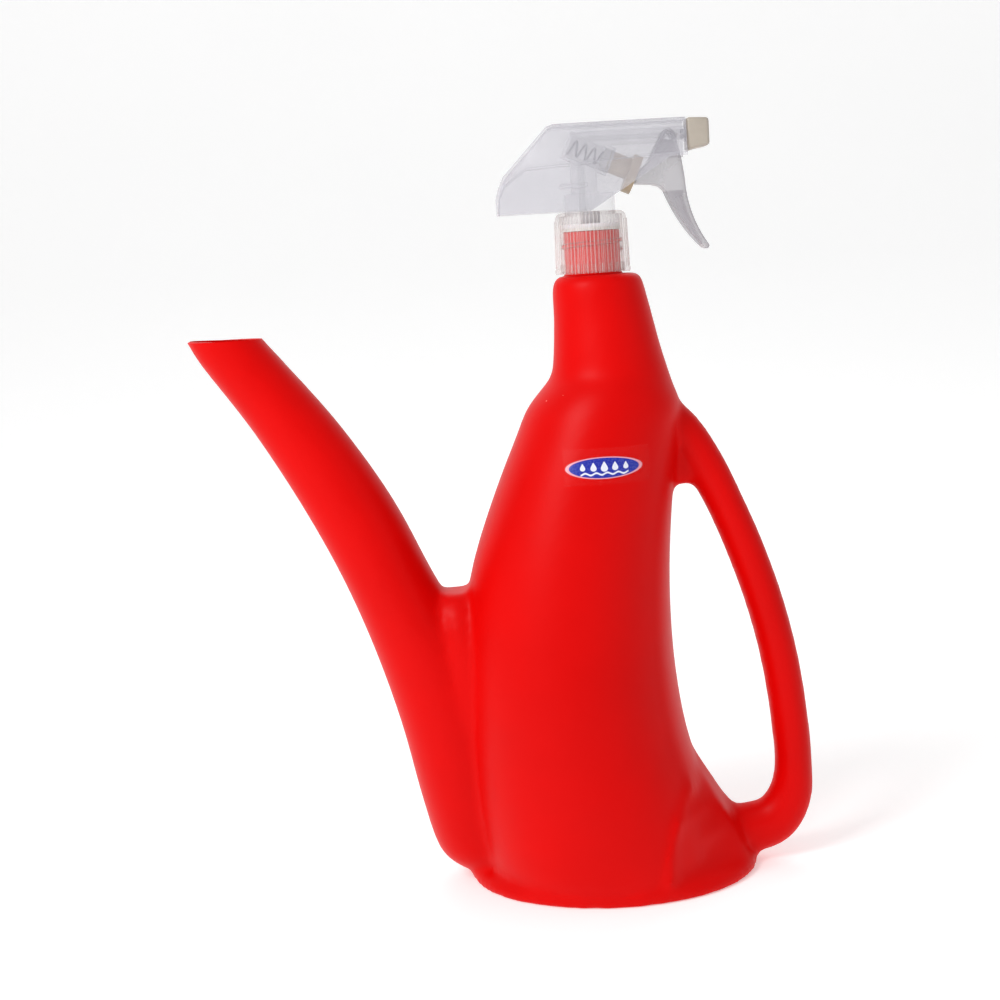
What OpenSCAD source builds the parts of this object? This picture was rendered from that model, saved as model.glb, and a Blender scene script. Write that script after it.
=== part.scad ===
// Watering can with a trigger sprayer on its filling neck.
// The can is one blown shell: a leaning body, a long pouring spout on the -X side and a
// looped handle on the +X side. The sprayer screws onto the neck and its dip tube reaches
// down to the floor of the can. Origin: centre of the foot on the floor, under the neck.

/* [Can] */
// Height of the flat shoulder that the neck stands on
can_height = 276; // [230:1:332]
// Length of the foot, from the spout side to the handle side
foot_length = 134; // [111:1:161]
// Depth of the foot, from front to back
foot_depth = 120; // [100:1:144]
// Height of the foot band below the body
foot_band = 4.5; // [3:0.5:8]
// Depth of the hollow under the floor of the can
floor_recess = 2.5; // [1:0.5:4]
// Wall of the blown shell
wall = 1.4; // [1:0.1:2]

/* [Spout] */
// Distance from the neck's axis to the lip of the spout
spout_reach = 185; // [154:1:222]
// Height of the level mouth of the spout
mouth_height = 256; // [215:1:300]
// Length of the mouth along the spout's plane
mouth_length = 34; // [28:1:40]
// Width of the mouth from front to back
mouth_width = 28; // [24:1:34]
// Greatest width of the spout, near its root
spout_width = 50; // [42:1:60]

/* [Handle] */
// Distance from the neck's axis to the outside of the handle
handle_reach = 90; // [82:1:108]
// Thickness of the grip, seen from the side
grip_thickness = 17.4; // [14:0.2:21]
// Width of the grip from front to back
grip_width = 20; // [16:0.5:24]

/* [Neck] */
// Height of the threaded neck above the shoulder
neck_height = 19.5; // [16:0.5:24]
// Diameter of the neck below its thread
neck_d = 25.2; // [24:0.1:30.3]
// Height of the neck's thread above its wall
thread_depth = 1.15; // [0.9:0.05:1.4]
// Wall of the neck
neck_wall = 2; // [1.6:0.1:2.4]
// Pitch of the thread
pitch = 4.23; // [3.8:0.01:5.1]
// Angle that the neck's thread covers
thread_angle = 500; // [420:10:520]
// Angle that the cap's thread covers
cap_thread_angle = 360; // [270:10:400]

/* [Cap] */
// Wall of the cap's skirt between its ribs, at the top
cap_wall = 2.05; // [1.4:0.05:2.5]
// Wall of the cap's top
cap_top = 1.5; // [1.2:0.1:2.2]
// Number of grip ribs round the cap
cap_ribs = 40; // [24:2:60]

/* [Pump] */
// Lean of the pump cylinder below level
pump_lean = 24; // [20:1:28]
// Bore of the pump cylinder
pump_bore = 10.4; // [8.6:0.1:12.5]
// Wall of the pump cylinder
pump_wall = 1.4; // [1.1:0.1:1.8]
// Stroke of the piston
stroke = 7.4; // [6:0.1:8.8]
// Wire of the return spring
wire_d = 1; // [0.8:0.05:1.2]
// Number of turns of the return spring
spring_turns = 5; // [4:0.5:7]
// Diameter of the discharge barrel
barrel_d = 7; // [5.8:0.1:8.4]
// Diameter of the trigger's pivot pins
pivot_d = 3.2; // [2.6:0.1:3.8]

/* [Trigger] */
// Width of the trigger's blade
trigger_width = 15; // [12.5:0.5:18]
// Drop of the trigger's tip below its pivot
trigger_drop = 50.4; // [42:0.2:60.6]

/* [Shroud and nozzle] */
// Width of the shroud at its rear
shroud_width = 26; // [25:0.5:31.5]
// Wall of the shroud
shroud_wall = 1.2; // [1:0.1:1.6]
// Length of the nozzle
nozzle_length = 10; // [8.3:0.1:12.4]
// Width of the nozzle
nozzle_width = 15; // [13:0.5:18]

/* [Dip tube] */
// Outer diameter of the dip tube
tube_d = 5; // [4.1:0.1:6]
// Wall of the dip tube
tube_wall = 0.7; // [0.5:0.05:0.8]
// Gap between the dip tube's end and the floor of the can
tube_gap = 6; // [4:0.5:12]

/* [Label] */
// Width of the clear label film
label_width = 38; // [30:1:44]
// Height of the clear label film
label_height = 16; // [12:0.5:20]

/* [Hidden] */

// Clearances
run_gap = 0.1;      // round fits that turn or slide
seat_gap = 0.05;    // pieces that bear on each other
end_gap = 0.3;      // faces that pass each other
thread_gap = 0.3;   // crests and roots of the closure's thread
cap_clear = 0.7;    // cap above the can's shoulder
arm_gap = 1.3;      // trigger's arms inside the shroud
pad_gap = 0.22;     // trigger's pad in front of the piston's pad
spring_gap = 0.25;  // ends of the return spring

// Half sizes of the can that its sections are drawn from
half_l = foot_length / 2;
half_d = foot_depth / 2;
neck_r = neck_d / 2;
thread_r = neck_r + thread_depth;
neck_bore_r = neck_r - neck_wall;

// Heights of the sprayer's stack
rim_z = can_height + neck_height;
thread_z = rim_z - 2.9 - pitch * thread_angle / 360;
washer_h = 1.4;
seat_flange_h = 1.6;
seat_z = rim_z + washer_h + 2 * seat_gap;
pump_z = seat_z + seat_flange_h;
cap_bottom_z = can_height + cap_clear;
cap_top_z = rim_z + 8.5;
flange_top_z = cap_top_z - cap_top - 2 * seat_gap;

// Pump axis: it leaves its origin towards the trigger and down
pump_origin_z = rim_z + 34.5;
pump_r = pump_bore / 2;
piston_head = 7;
spring_seat = 14.2;
packed_spring = 8.6;
cylinder_back = piston_head - stroke - packed_spring;
cylinder_mouth = 11.5;
piston_pad_in = 20;
piston_pad_out = 24;
stem_r = 11.3;
stem_top_z = rim_z + 16.5;
tower_x = -2;
tower_r = 6;

// Discharge barrel
barrel_z = rim_z + 40.5;
barrel_r = barrel_d / 2;
barrel_end = 47;
barrel_bore_r = 1.25;
barrel_front_r = 2.2;

// Trigger
pivot_x = 36;
pivot_z = rim_z + 39.5;
pivot_r = pivot_d / 2;
pad_r = 10.3;
blade_wall = 1.6;

// Shroud
shroud_bottom_z = cap_top_z + 0.5;
shroud_top_z = rim_z + 47.5;
shroud_front = 44;
shroud_back = -42;

// ---------- helpers ----------

// Catmull-Rom value between b and c
function spline(a, b, c, d, t) =
    0.5 * (2 * b + (c - a) * t + (2 * a - 5 * b + 4 * c - d) * t * t + (3 * b - a - 3 * c + d) * t * t * t);

// Rows of numbers on a smooth curve through the given rows, with steps between each pair
function smooth_rows(rows, steps) =
    let (last = len(rows) - 1)
    concat(
        [for (i = [0 : last - 1], s = [0 : steps - 1])
            spline(rows[max(i - 1, 0)], rows[i], rows[i + 1], rows[min(i + 2, last)], s / steps)],
        [rows[last]]
    );

// A level section, drawn as a superellipse between two ends
function level_ring(z, left, right, half_depth, power, sides) =
    let (mid = (left + right) / 2, half = (right - left) / 2)
    [for (i = [0 : sides - 1])
        let (a = 360 * i / sides, c = cos(a), s = sin(a))
        [mid + half * sign(c) * pow(abs(c), 2 / power), half_depth * sign(s) * pow(abs(s), 2 / power), z]];

// An oval ring across a path in the X-Z plane
function path_ring(at, along, half_t, half_w, sides) =
    let (u = [along[1], 0, -along[0]] / norm(along))
    [for (i = [0 : sides - 1])
        let (a = 360 * i / sides)
        [at[0], 0, at[1]] + half_t * cos(a) * u + [0, half_w * sin(a), 0]];

// A closed solid through a list of rings that have the same number of points. Its ends are one
// face each, or strips across from one side of the ring to the other where strips is true.
module skin(rings, strips = false) {
    n = len(rings[0]);
    m = len(rings);
    low = strips ? [for (i = [0 : n / 2 - 2]) [i, i + 1, n - 2 - i, n - 1 - i]] : [[for (i = [0 : n - 1]) i]];
    high = [for (face = low) [for (k = [len(face) - 1 : -1 : 0]) (m - 1) * n + face[k]]];
    sides = [for (j = [0 : m - 2], i = [0 : n - 1])
        let (k = (i + 1) % n)
        each [[j * n + i, (j + 1) * n + i, (j + 1) * n + k], [j * n + i, (j + 1) * n + k, j * n + k]]];
    polyhedron(
        points = [for (r = rings) each r],
        faces = concat(low, sides, high)
    );
}

// A helical ridge with a trapezium profile, on the helix that is at z0 where the angle is 0.
// Its root is sunk into the wall that it stands on, and its two ends fade into that wall.
module thread_ridge(root_r, crest_r, z0, start, angle, root_w, crest_w) {
    steps = ceil(angle / 15);
    fade = 45;
    rings = [for (i = [0 : steps])
        let (
            turned = angle * i / steps,
            a = start + turned,
            tip = root_r + (crest_r - root_r) * min(1, min(turned, angle - turned) / fade + 0.05)
        )
        [for (p = [[root_r, -root_w / 2], [tip, -crest_w / 2], [tip, crest_w / 2], [root_r, root_w / 2]])
            [p[0] * cos(a), p[0] * sin(a), z0 + pitch * a / 360 + p[1]]]];
    skin(crest_r > root_r ? [for (r = rings) [r[0], r[3], r[2], r[1]]] : rings);
}

module ring(outer_r, inner_r, low, high) {
    translate([0, 0, low]) difference() {
        cylinder(r = outer_r, h = high - low, $fn = 96);
        translate([0, 0, -1]) cylinder(r = inner_r, h = high - low + 2, $fn = 96);
    }
}

// Lays a shape made along +Z onto the pump's axis
module on_pump_axis() {
    translate([0, 0, pump_origin_z]) rotate([0, 90 + pump_lean, 0]) children();
}

// Lays a shape made along +Z onto the barrel, with its foot at x
module on_barrel(x) {
    translate([x, 0, barrel_z]) rotate([0, 90, 0]) children();
}

// Extrudes a side outline, drawn in X and Z, to a width in Y
module side_slab(width) {
    rotate([90, 0, 0]) linear_extrude(height = width, center = true) children();
}

// ---------- can ----------

// Rows of height, spout-side end, handle-side end and half depth
body_rows = [
    [0.011 * can_height, -0.86 * half_l, 0.6 * half_l, 0.94 * half_d],
    [0.03 * can_height, -0.95 * half_l, 0.69 * half_l, 1.01 * half_d],
    [0.075 * can_height, -1.0 * half_l, 0.66 * half_l, 1.04 * half_d],
    [0.15 * can_height, -1.04 * half_l, 0.58 * half_l, 1.03 * half_d],
    [0.24 * can_height, -1.05 * half_l, 0.48 * half_l, 0.99 * half_d],
    [0.34 * can_height, -1.04 * half_l, 0.425 * half_l, 0.94 * half_d],
    [0.44 * can_height, -1.01 * half_l, 0.41 * half_l, 0.87 * half_d],
    [0.54 * can_height, -0.92 * half_l, 0.425 * half_l, 0.8 * half_d],
    [0.65 * can_height, -0.75 * half_l, 0.47 * half_l, 0.71 * half_d],
    [0.74 * can_height, -0.585 * half_l, 0.52 * half_l, 0.63 * half_d],
    [0.785 * can_height, -0.5 * half_l, 0.54 * half_l, 0.58 * half_d],
    [0.815 * can_height, -0.4 * half_l, 0.5 * half_l, 0.52 * half_d],
    [0.84 * can_height, -(neck_r + 8.8), neck_r + 19, neck_r + 14],
    [0.88 * can_height, -(neck_r + 7.2), neck_r + 16, neck_r + 12],
    [0.93 * can_height, -(neck_r + 6.3), neck_r + 13, neck_r + 9.8],
    [0.975 * can_height, -(neck_r + 6.3), neck_r + 10.2, neck_r + 8.4],
    [0.992 * can_height, -(neck_r + 5.4), neck_r + 9, neck_r + 7.4],
    [can_height, -(neck_r + 2.8), neck_r + 6.4, neck_r + 4.8]
];

spout_rows = [
    [0.02 * can_height, -1.14 * half_l, -0.67 * half_l, 0.28 * spout_width],
    [0.055 * can_height, -1.28 * half_l, -0.67 * half_l, 0.42 * spout_width],
    [0.145 * can_height, -1.38 * half_l, -0.72 * half_l, 0.49 * spout_width],
    [0.27 * can_height, -0.538 * spout_reach, -0.8 * half_l, 0.5 * spout_width],
    [0.43 * mouth_height, -0.592 * spout_reach, -0.346 * spout_reach, 0.475 * spout_width],
    [0.566 * mouth_height, -0.661 * spout_reach, -0.437 * spout_reach, 0.43 * spout_width],
    [0.703 * mouth_height, -0.751 * spout_reach, -0.524 * spout_reach, 0.385 * spout_width],
    [0.84 * mouth_height, -0.858 * spout_reach, -0.642 * spout_reach, 0.62 * mouth_width],
    [0.957 * mouth_height, -0.968 * spout_reach, 3 - 0.968 * spout_reach + mouth_length, 0.54 * mouth_width],
    [mouth_height, -spout_reach, -spout_reach + mouth_length, 0.5 * mouth_width]
];

// The gusset that carries the foot out to the handle's root
gusset_rows = [
    [0.011 * can_height, 0.88 * half_l, 0.9 * half_d],
    [0.035 * can_height, 0.92 * half_l, 0.97 * half_d],
    [0.08 * can_height, 0.8 * half_l, 0.8 * half_d],
    [0.145 * can_height, 0.645 * half_l, 0.54 * half_d],
    [0.2 * can_height, 0.53 * half_l, 0.3 * half_d]
];

// Rows of the handle's path, with x, z and half thickness
grip_x = handle_reach - grip_thickness / 2;
handle_rows = [
    [0.33 * half_l, 0.785 * can_height, 0.52 * grip_thickness],
    [0.44 * grip_x, 0.74 * can_height, 0.53 * grip_thickness],
    [0.565 * grip_x, 0.68 * can_height, 0.53 * grip_thickness],
    [0.665 * grip_x, 0.618 * can_height, 0.495 * grip_thickness],
    [0.775 * grip_x, 0.535 * can_height, 0.5 * grip_thickness],
    [0.877 * grip_x, 0.438 * can_height, 0.5 * grip_thickness],
    [0.948 * grip_x, 0.34 * can_height, 0.5 * grip_thickness],
    [0.988 * grip_x, 0.24 * can_height, 0.5 * grip_thickness],
    [grip_x, 0.16 * can_height, 0.505 * grip_thickness],
    [0.973 * grip_x, 0.107 * can_height, 0.59 * grip_thickness],
    [0.88 * grip_x, 0.067 * can_height, 0.66 * grip_thickness],
    [0.74 * grip_x, 0.055 * can_height, 0.68 * grip_thickness],
    [0.54 * grip_x, 0.055 * can_height, 0.62 * grip_thickness]
];

module body_loft(inset) {
    rows = smooth_rows(body_rows, 2);
    last = len(rows) - 1;
    skin([for (i = [0 : last])
        let (
            r = rows[i],
            z = inset == 0 ? r[0] : i == 0 ? floor_recess + inset : i == last ? r[0] - inset : r[0]
        )
        level_ring(z, r[1] + inset, r[2] - inset, r[3] - inset, 2, 32)]);
}

// The spout leans, so its wall is thicker along X than across it
module spout_loft(inset) {
    rows = smooth_rows(spout_rows, 2);
    last = len(rows) - 1;
    lean_inset = 1.25 * inset;
    rings = [for (i = [0 : last])
        let (r = rows[i], z = i == 0 && inset > 0 ? r[0] + 2 * inset : r[0])
        level_ring(z, r[1] + lean_inset, r[2] - lean_inset, r[3] - inset, 2, 20)];
    top = rings[last];
    lift = [-0.7, 0, 1];
    skin(inset > 0 ? concat(rings, [[for (p = top) p + lift]]) : rings);
}

module gusset_loft(inset) {
    rows = smooth_rows(gusset_rows, 2);
    skin([for (i = [0 : len(rows) - 1])
        let (r = rows[i], z = i == 0 && inset > 0 ? r[0] + foot_band : r[0])
        level_ring(z, -0.7 * half_l, r[1] - 1.3 * inset, r[2] - inset, 1.5, 32)]);
}

module handle_sweep(inset) {
    rows = smooth_rows(handle_rows, 2);
    last = len(rows) - 1;
    skin([for (i = [last : -1 : 0])
        let (a = rows[max(i - 1, 0)], b = rows[min(i + 1, last)], r = rows[i])
        path_ring([r[0], r[1]], [a[0] - b[0], a[1] - b[1]], r[2] - inset, grip_width / 2 - inset, 14)]);
}

// The foot stands a little towards the spout
foot_shift = -4.5;

function foot_ring(z, inset) =
    level_ring(z, foot_shift - half_l + inset, foot_shift + half_l - inset, half_d - inset, 2, 32);

foot_rim_h = 0.8;
foot_rim_in = 0.6;
foot_rim_w = 5;

module foot_loft() {
    skin([
        foot_ring(foot_rim_h, 0.4),
        foot_ring(foot_rim_h + 1, 0),
        foot_ring(foot_band, 0.5),
        foot_ring(foot_band + 3, 4)
    ]);
}

module floor_hollow() {
    edge = foot_rim_in + foot_rim_w;
    skin([foot_ring(-1, edge), foot_ring(floor_recess, edge + 3)]);
}

// The narrow rim that the can stands on, let into the foot above it. Its corners lie between
// the foot's own corners, so that no edge of the one runs along an edge of the other.
module foot_rim() {
    let_in = 0.5;
    sides = 44;
    linear_extrude(height = foot_rim_h + let_in) difference() {
        polygon(rim_outline(foot_rim_in, sides));
        polygon(rim_outline(foot_rim_in + foot_rim_w - 1.2, sides));
    }
}

function rim_outline(inset, sides) =
    [for (i = [0 : sides - 1])
        let (a = 360 * (i + 0.37) / sides)
        [foot_shift + (half_l - inset) * cos(a), (half_d - inset) * sin(a)]];

// Rounded crotches where the spout and the handle leave the body. Each is a hollow wedge
// between two heights, with a half-round bottom or top edge.
spout_crotch_z = 0.495 * can_height;
handle_crotch_z = 0.648 * can_height;

module crotches(inset) {
    // between the spout and the body
    skin([
        level_ring(spout_crotch_z - 26, -1.22 * half_l + inset, -0.82 * half_l - inset, 15 - inset, 2, 20),
        level_ring(spout_crotch_z - 8, -1.25 * half_l + inset, -0.85 * half_l - inset, 12 - inset, 2, 20),
        level_ring(spout_crotch_z - 1.2 * inset,
            -1.24 * half_l + inset, -0.87 * half_l - inset, 8 - inset, 2, 20)
    ]);
    // between the handle and the body
    skin([
        level_ring(handle_crotch_z + 1.2 * inset,
            0.46 * half_l + inset, 0.62 * half_l - inset, 5.5 - inset, 2, 20),
        level_ring(handle_crotch_z + 6, 0.4 * half_l + inset, 0.6 * half_l - inset, 7.5 - inset, 2, 20),
        level_ring(handle_crotch_z + 18, 0.3 * half_l + inset, 0.52 * half_l - inset, 8 - inset, 2, 20)
    ]);
}

module can_shape() {
    difference() {
        union() {
            foot_loft();
            crotches(0);
            body_loft(0);
            spout_loft(0);
            gusset_loft(0);
            handle_sweep(0);
            translate([0, 0, can_height - 2]) cylinder(r = neck_r, h = neck_height + 2, $fn = 48);
            thread_ridge(neck_r - 0.4, thread_r, thread_z, 0, thread_angle, 2.4, 1);
        }
        body_loft(wall);
        spout_loft(wall);
        gusset_loft(wall);
        handle_sweep(wall);
        crotches(wall);
        translate([0, 0, can_height - 8]) cylinder(r = neck_bore_r, h = neck_height + 10, $fn = 48);
        floor_hollow();
    }
}

// The lofts cross at every angle, so they are meshed together and keep their own size
module can_body() {
    color("red") {
        resize([0, 0, 0]) can_shape();
        foot_rim();
    }
}

// Depth of the body's front at a place, from the same rows as the body's skin
function body_depth(x, z) =
    let (
        rows = smooth_rows(body_rows, 2),
        i = max([for (k = [0 : len(rows) - 2]) rows[k][0] <= z ? k : 0]),
        t = (z - rows[i][0]) / (rows[i + 1][0] - rows[i][0]),
        r = rows[i] + (rows[i + 1] - rows[i]) * t,
        u = (x - (r[1] + r[2]) / 2) / ((r[2] - r[1]) / 2)
    )
    r[3] * sqrt(1 - u * u);

module label() {
    film = 0.4;
    lift = 0.12;
    columns = 16;
    mid_x = -0.5;
    mid_z = 0.7 * can_height;
    xs = [for (i = [0 : columns]) mid_x + label_width * (i / columns - 0.5)];
    skin([for (step = [0 : 4])
        let (z = mid_z + label_height * (step / 4 - 0.5))
        concat(
            [for (x = xs) [x, -body_depth(x, z) - lift - film, z]],
            [for (i = [columns : -1 : 0]) [xs[i], -body_depth(xs[i], z) - lift, z]]
        )], strips = true);
}

// ---------- closure ----------

module neck_washer() {
    color("whitesmoke")
        ring(thread_r - 0.5, neck_bore_r + end_gap, rim_z + seat_gap, rim_z + seat_gap + washer_h);
}

cap_inner_r = thread_r + thread_gap;

module cap() {
    rib_h = 0.5;
    draft = 0.7;
    top_r = cap_inner_r + cap_wall;
    skirt_h = cap_top_z - cap_bottom_z;
    color("gainsboro") {
        difference() {
            union() {
                translate([0, 0, cap_bottom_z])
                    cylinder(r1 = top_r + draft, r2 = top_r, h = skirt_h, $fn = 96);
                for (i = [0 : cap_ribs - 1]) rotate([0, 0, 360 * i / cap_ribs])
                    translate([top_r - 1, -0.4, cap_bottom_z + 1])
                        cube([rib_h + 1.5, 0.8, skirt_h - 3]);
            }
            translate([0, 0, cap_bottom_z - 1])
                cylinder(r = cap_inner_r, h = skirt_h - cap_top + 1, $fn = 96);
            translate([0, 0, cap_top_z - cap_top - 1])
                cylinder(r = stem_r + run_gap, h = cap_top + 2, $fn = 96);
        }
        thread_ridge(cap_inner_r + 0.4, neck_r + thread_gap, thread_z - pitch / 2,
            thread_angle + 60 - cap_thread_angle, cap_thread_angle, 1.7, 0.7);
    }
}

// ---------- pump ----------

ball_r = 2;
ball_chamber_r = 2.9;
socket_r = tube_d / 2 + seat_gap;
plug_r = neck_bore_r - end_gap;
flange_r = thread_r - 0.75;
spigot_r = 4.4;
spigot_top_z = pump_z + 5.4;
cone_z = seat_z + 0.6;
cone_r = 1.2;
ball_z = cone_z - cone_r + ball_r * sqrt(2) + 0.02;

module valve_seat() {
    color("whitesmoke") difference() {
        union() {
            translate([0, 0, seat_z]) cylinder(r = flange_r, h = seat_flange_h, $fn = 96);
            translate([0, 0, seat_z - 8]) cylinder(r = plug_r, h = 8.5, $fn = 96);
            translate([0, 0, seat_z - 12]) cylinder(r = socket_r + 1.5, h = 12.5, $fn = 64);
            translate([0, 0, seat_z]) cylinder(r = spigot_r, h = spigot_top_z - seat_z, $fn = 64);
        }
        ring(plug_r - 1.4, socket_r + 1.5, seat_z - 9, seat_z - 1.4);
        translate([0, 0, seat_z - 13]) cylinder(r = socket_r, h = 12.4, $fn = 64);
        translate([0, 0, seat_z - 2]) cylinder(r = cone_r, h = 4, $fn = 64);
        translate([0, 0, cone_z])
            cylinder(r1 = cone_r, r2 = ball_chamber_r, h = ball_chamber_r - cone_r, $fn = 64);
        translate([0, 0, cone_z + ball_chamber_r - cone_r]) cylinder(r = ball_chamber_r, h = 20, $fn = 64);
    }
}

module inlet_ball() {
    color("silver") translate([0, 0, ball_z]) sphere(r = ball_r, $fn = 48);
}

module dip_tube() {
    color("whitesmoke")
        ring(tube_d / 2, tube_d / 2 - tube_wall, foot_band + wall + tube_gap, seat_z - 0.6 - seat_gap);
}

module pump_body() {
    lug = shroud_width / 2 - shroud_wall - seat_gap;
    color("gainsboro") difference() {
        union() {
            translate([0, 0, pump_z]) cylinder(r = flange_r, h = flange_top_z - pump_z, $fn = 96);
            translate([0, 0, pump_z]) cylinder(r = stem_r, h = stem_top_z - pump_z, $fn = 96);
            translate([tower_x, 0, stem_top_z - 1])
                cylinder(r = tower_r, h = pump_origin_z - stem_top_z, $fn = 64);
            on_pump_axis() translate([0, 0, cylinder_back - pump_wall])
                cylinder(r = pump_r + pump_wall, h = cylinder_mouth - cylinder_back + pump_wall, $fn = 96);
            on_barrel(-4) cylinder(r = barrel_r, h = barrel_end + 4, $fn = 64);
            translate([-13, -lug, stem_top_z + 3]) cube([12, 2 * lug, 1.6]);
            translate([pivot_x, 0, pivot_z]) rotate([90, 0, 0])
                cylinder(r = pivot_r, h = trigger_width - 2, center = true, $fn = 64);
        }
        on_pump_axis() translate([0, 0, cylinder_back])
            cylinder(r = pump_r, h = cylinder_mouth - cylinder_back + 1, $fn = 96);
        translate([0, 0, pump_z - 1])
            cylinder(r = spigot_r + seat_gap, h = spigot_top_z - pump_z + 1 + seat_gap, $fn = 64);
        translate([-3, 0, spigot_top_z - 1]) cylinder(r = 1.5, h = pump_origin_z - spigot_top_z, $fn = 48);
        on_barrel(-2) cylinder(r = barrel_bore_r, h = barrel_end, $fn = 48);
        on_barrel(barrel_end - 9) cylinder(r = barrel_front_r, h = 10, $fn = 48);
    }
}

module outlet_valve() {
    color("whitesmoke") {
        on_barrel(barrel_end - 8.6) cylinder(r = barrel_front_r - seat_gap, h = 0.8, $fn = 48);
        on_barrel(barrel_end - 8.2) cylinder(r = 0.8, h = 2.2, $fn = 32);
    }
}

module spinner() {
    color("whitesmoke") difference() {
        on_barrel(barrel_end - 5) cylinder(r = barrel_front_r - seat_gap, h = 5.4, $fn = 48);
        for (a = [0, 90]) on_barrel(barrel_end - 5.5) rotate([0, 0, a])
            translate([-0.35, -barrel_front_r - 1, 0]) cube([0.7, 2 * barrel_front_r + 2, 2]);
        for (s = [-1, 1]) on_barrel(barrel_end - 1)
            translate([s * 1.6, 0, 0]) cylinder(r = 0.5, h = 3, $fn = 24);
    }
}

module piston() {
    shaft_r = pump_r - 0.3;
    groove_r = shaft_r - 0.5;
    color("tan") difference() {
        union() {
            on_pump_axis() translate([0, 0, piston_head]) cylinder(r = groove_r, h = 5, $fn = 64);
            on_pump_axis() translate([0, 0, piston_head + 3.2])
                cylinder(r = shaft_r, h = piston_pad_out - piston_head - 4, $fn = 64);
            intersection() {
                on_pump_axis() translate([0, 0, piston_pad_in])
                    cylinder(r = 10.5, h = piston_pad_out - piston_pad_in, $fn = 96);
                on_pump_axis() translate([-6.5, -8.5, piston_pad_in - 1]) cube([18, 17, 8]);
            }
        }
        on_pump_axis() translate([0, 0, piston_head - 1])
            cylinder(r = groove_r - 0.45, h = spring_seat - piston_head + 1, $fn = 64);
    }
}

module piston_seal() {
    color("whitesmoke") on_pump_axis()
        ring(pump_r - seat_gap, pump_r - 0.8 + 0.02, piston_head, piston_head + 3);
}

module vent_seal() {
    color("whitesmoke") on_pump_axis()
        ring(pump_r - seat_gap, pump_r - 0.3 + 0.02, piston_head + 3.6, piston_head + 4.4);
}

spring_r = pump_r - 0.3 - 0.5 - 0.45 - 0.3 - wire_d / 2;

module return_spring() {
    steps = 14;
    sides = 6;
    length = spring_seat - cylinder_back - wire_d - 2 * spring_gap;
    turns = ceil(spring_turns * steps);
    slope = length / (360 * spring_turns) * 57.3 / spring_r;
    color("dimgray") on_pump_axis() skin([for (i = [0 : turns])
        let (a = 360 * i / steps, z = cylinder_back + spring_gap + wire_d / 2 + length * i / turns)
        [for (k = [0 : sides - 1])
            let (b = -360 * k / sides, out = spring_r + wire_d / 2 * cos(b), up = wire_d / 2 * sin(b))
            [out * cos(a) + up * slope * sin(a), out * sin(a) - up * slope * cos(a), z + up]]]);
}

// ---------- trigger ----------

pad_drop = 1.82;
pad_reach = piston_pad_out + pad_gap + pad_r;
pad_x = pad_reach * cos(pump_lean) - pad_drop * sin(pump_lean);
pad_z = pump_origin_z - pad_reach * sin(pump_lean) - pad_drop * cos(pump_lean);
blade_bottom = pivot_z - trigger_drop;

// Side outline: pad, pivot boss, front of the blade, tip and rear of the blade
function trigger_outline() = concat(
    [for (a = [176 : -10 : 116]) [pad_x + pad_r * cos(a), pad_z + pad_r * sin(a)]],
    [for (a = [150 : -15 : 0]) [pivot_x + 3.3 * cos(a), pivot_z + 3.3 * sin(a)]],
    [[40.6, pivot_z - 6], [41.4, pivot_z - 10], [42.4, pivot_z - 17.5]],
    [for (t = [0 : 0.125 : 1])
        let (b = blade_bottom + 1.6, u = 1 - t)
        u * u * [42.6, pivot_z - 20]
            + 2 * u * t * [43.4, 0.45 * (pivot_z - 20) + 0.55 * b]
            + t * t * [52.2, b]],
    [[52.2, blade_bottom + 0.5], [51.2, blade_bottom], [50, blade_bottom + 0.5]],
    [for (t = [0.1 : 0.15 : 1])
        let (b = blade_bottom + 0.8, u = 1 - t)
        u * u * [49.6, b]
            + 2 * u * t * [39.5, 0.6 * b + 0.4 * (pivot_z - 24)]
            + t * t * [33.4, pivot_z - 23.5]],
    [[31.5, pivot_z - 21.6], [28, pivot_z - 20.6]]
);

module trigger() {
    color("gainsboro") difference() {
        side_slab(trigger_width) polygon(trigger_outline());
        // slot between the arms, for the barrel
        translate([pad_x - 12, -barrel_r - end_gap, pivot_z - 7]) cube([30, 2 * barrel_r + 2 * end_gap, 20]);
        // hollow rear of the blade
        intersection() {
            translate([-1.8, 0, 0]) side_slab(trigger_width - 2 * blade_wall) polygon(trigger_outline());
            translate([20, -20, blade_bottom + 2]) cube([40, 40, trigger_drop - 27]);
        }
        translate([pivot_x, 0, pivot_z]) rotate([90, 0, 0])
            cylinder(r = pivot_r + run_gap, h = trigger_width + 2, center = true, $fn = 64);
    }
}

// ---------- shroud and nozzle ----------

// Side outline of the shroud, from its low rear corner round the top to the diagonal mouth
function shroud_outline(inset) = [
    [shroud_back + 0.5 + inset, shroud_bottom_z - (inset > 0 ? 1 : 0)],
    [shroud_back + inset, shroud_bottom_z + 7],
    [shroud_back + 3.4 + inset, shroud_bottom_z + 16],
    [shroud_back + 24 + 1.4 * inset, shroud_top_z - 1 - inset],
    [shroud_back + 27 + inset, shroud_top_z - inset],
    [shroud_front + (inset > 0 ? 1 : 0), shroud_top_z - inset],
    [shroud_front + (inset > 0 ? 1 : 0), rim_z + 31 - (inset > 0 ? 1 : 0)],
    [36.5 + inset, rim_z + 30.6 - (inset > 0 ? 1 : 0)],
    [6 + inset, rim_z + 12.2 - (inset > 0 ? 1 : 0)],
    [5.8 + inset, shroud_bottom_z - (inset > 0 ? 1 : 0)]
];

// Front outline: sloping top edges over upright sides
function shroud_front_outline(half, inset) =
    let (h = half - inset, top = shroud_top_z - inset, low = shroud_bottom_z - 2)
    [[-h, low], [-h, top - 7], [-h + 4.5, top], [h - 4.5, top], [h, top - 7], [h, low]];

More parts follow.
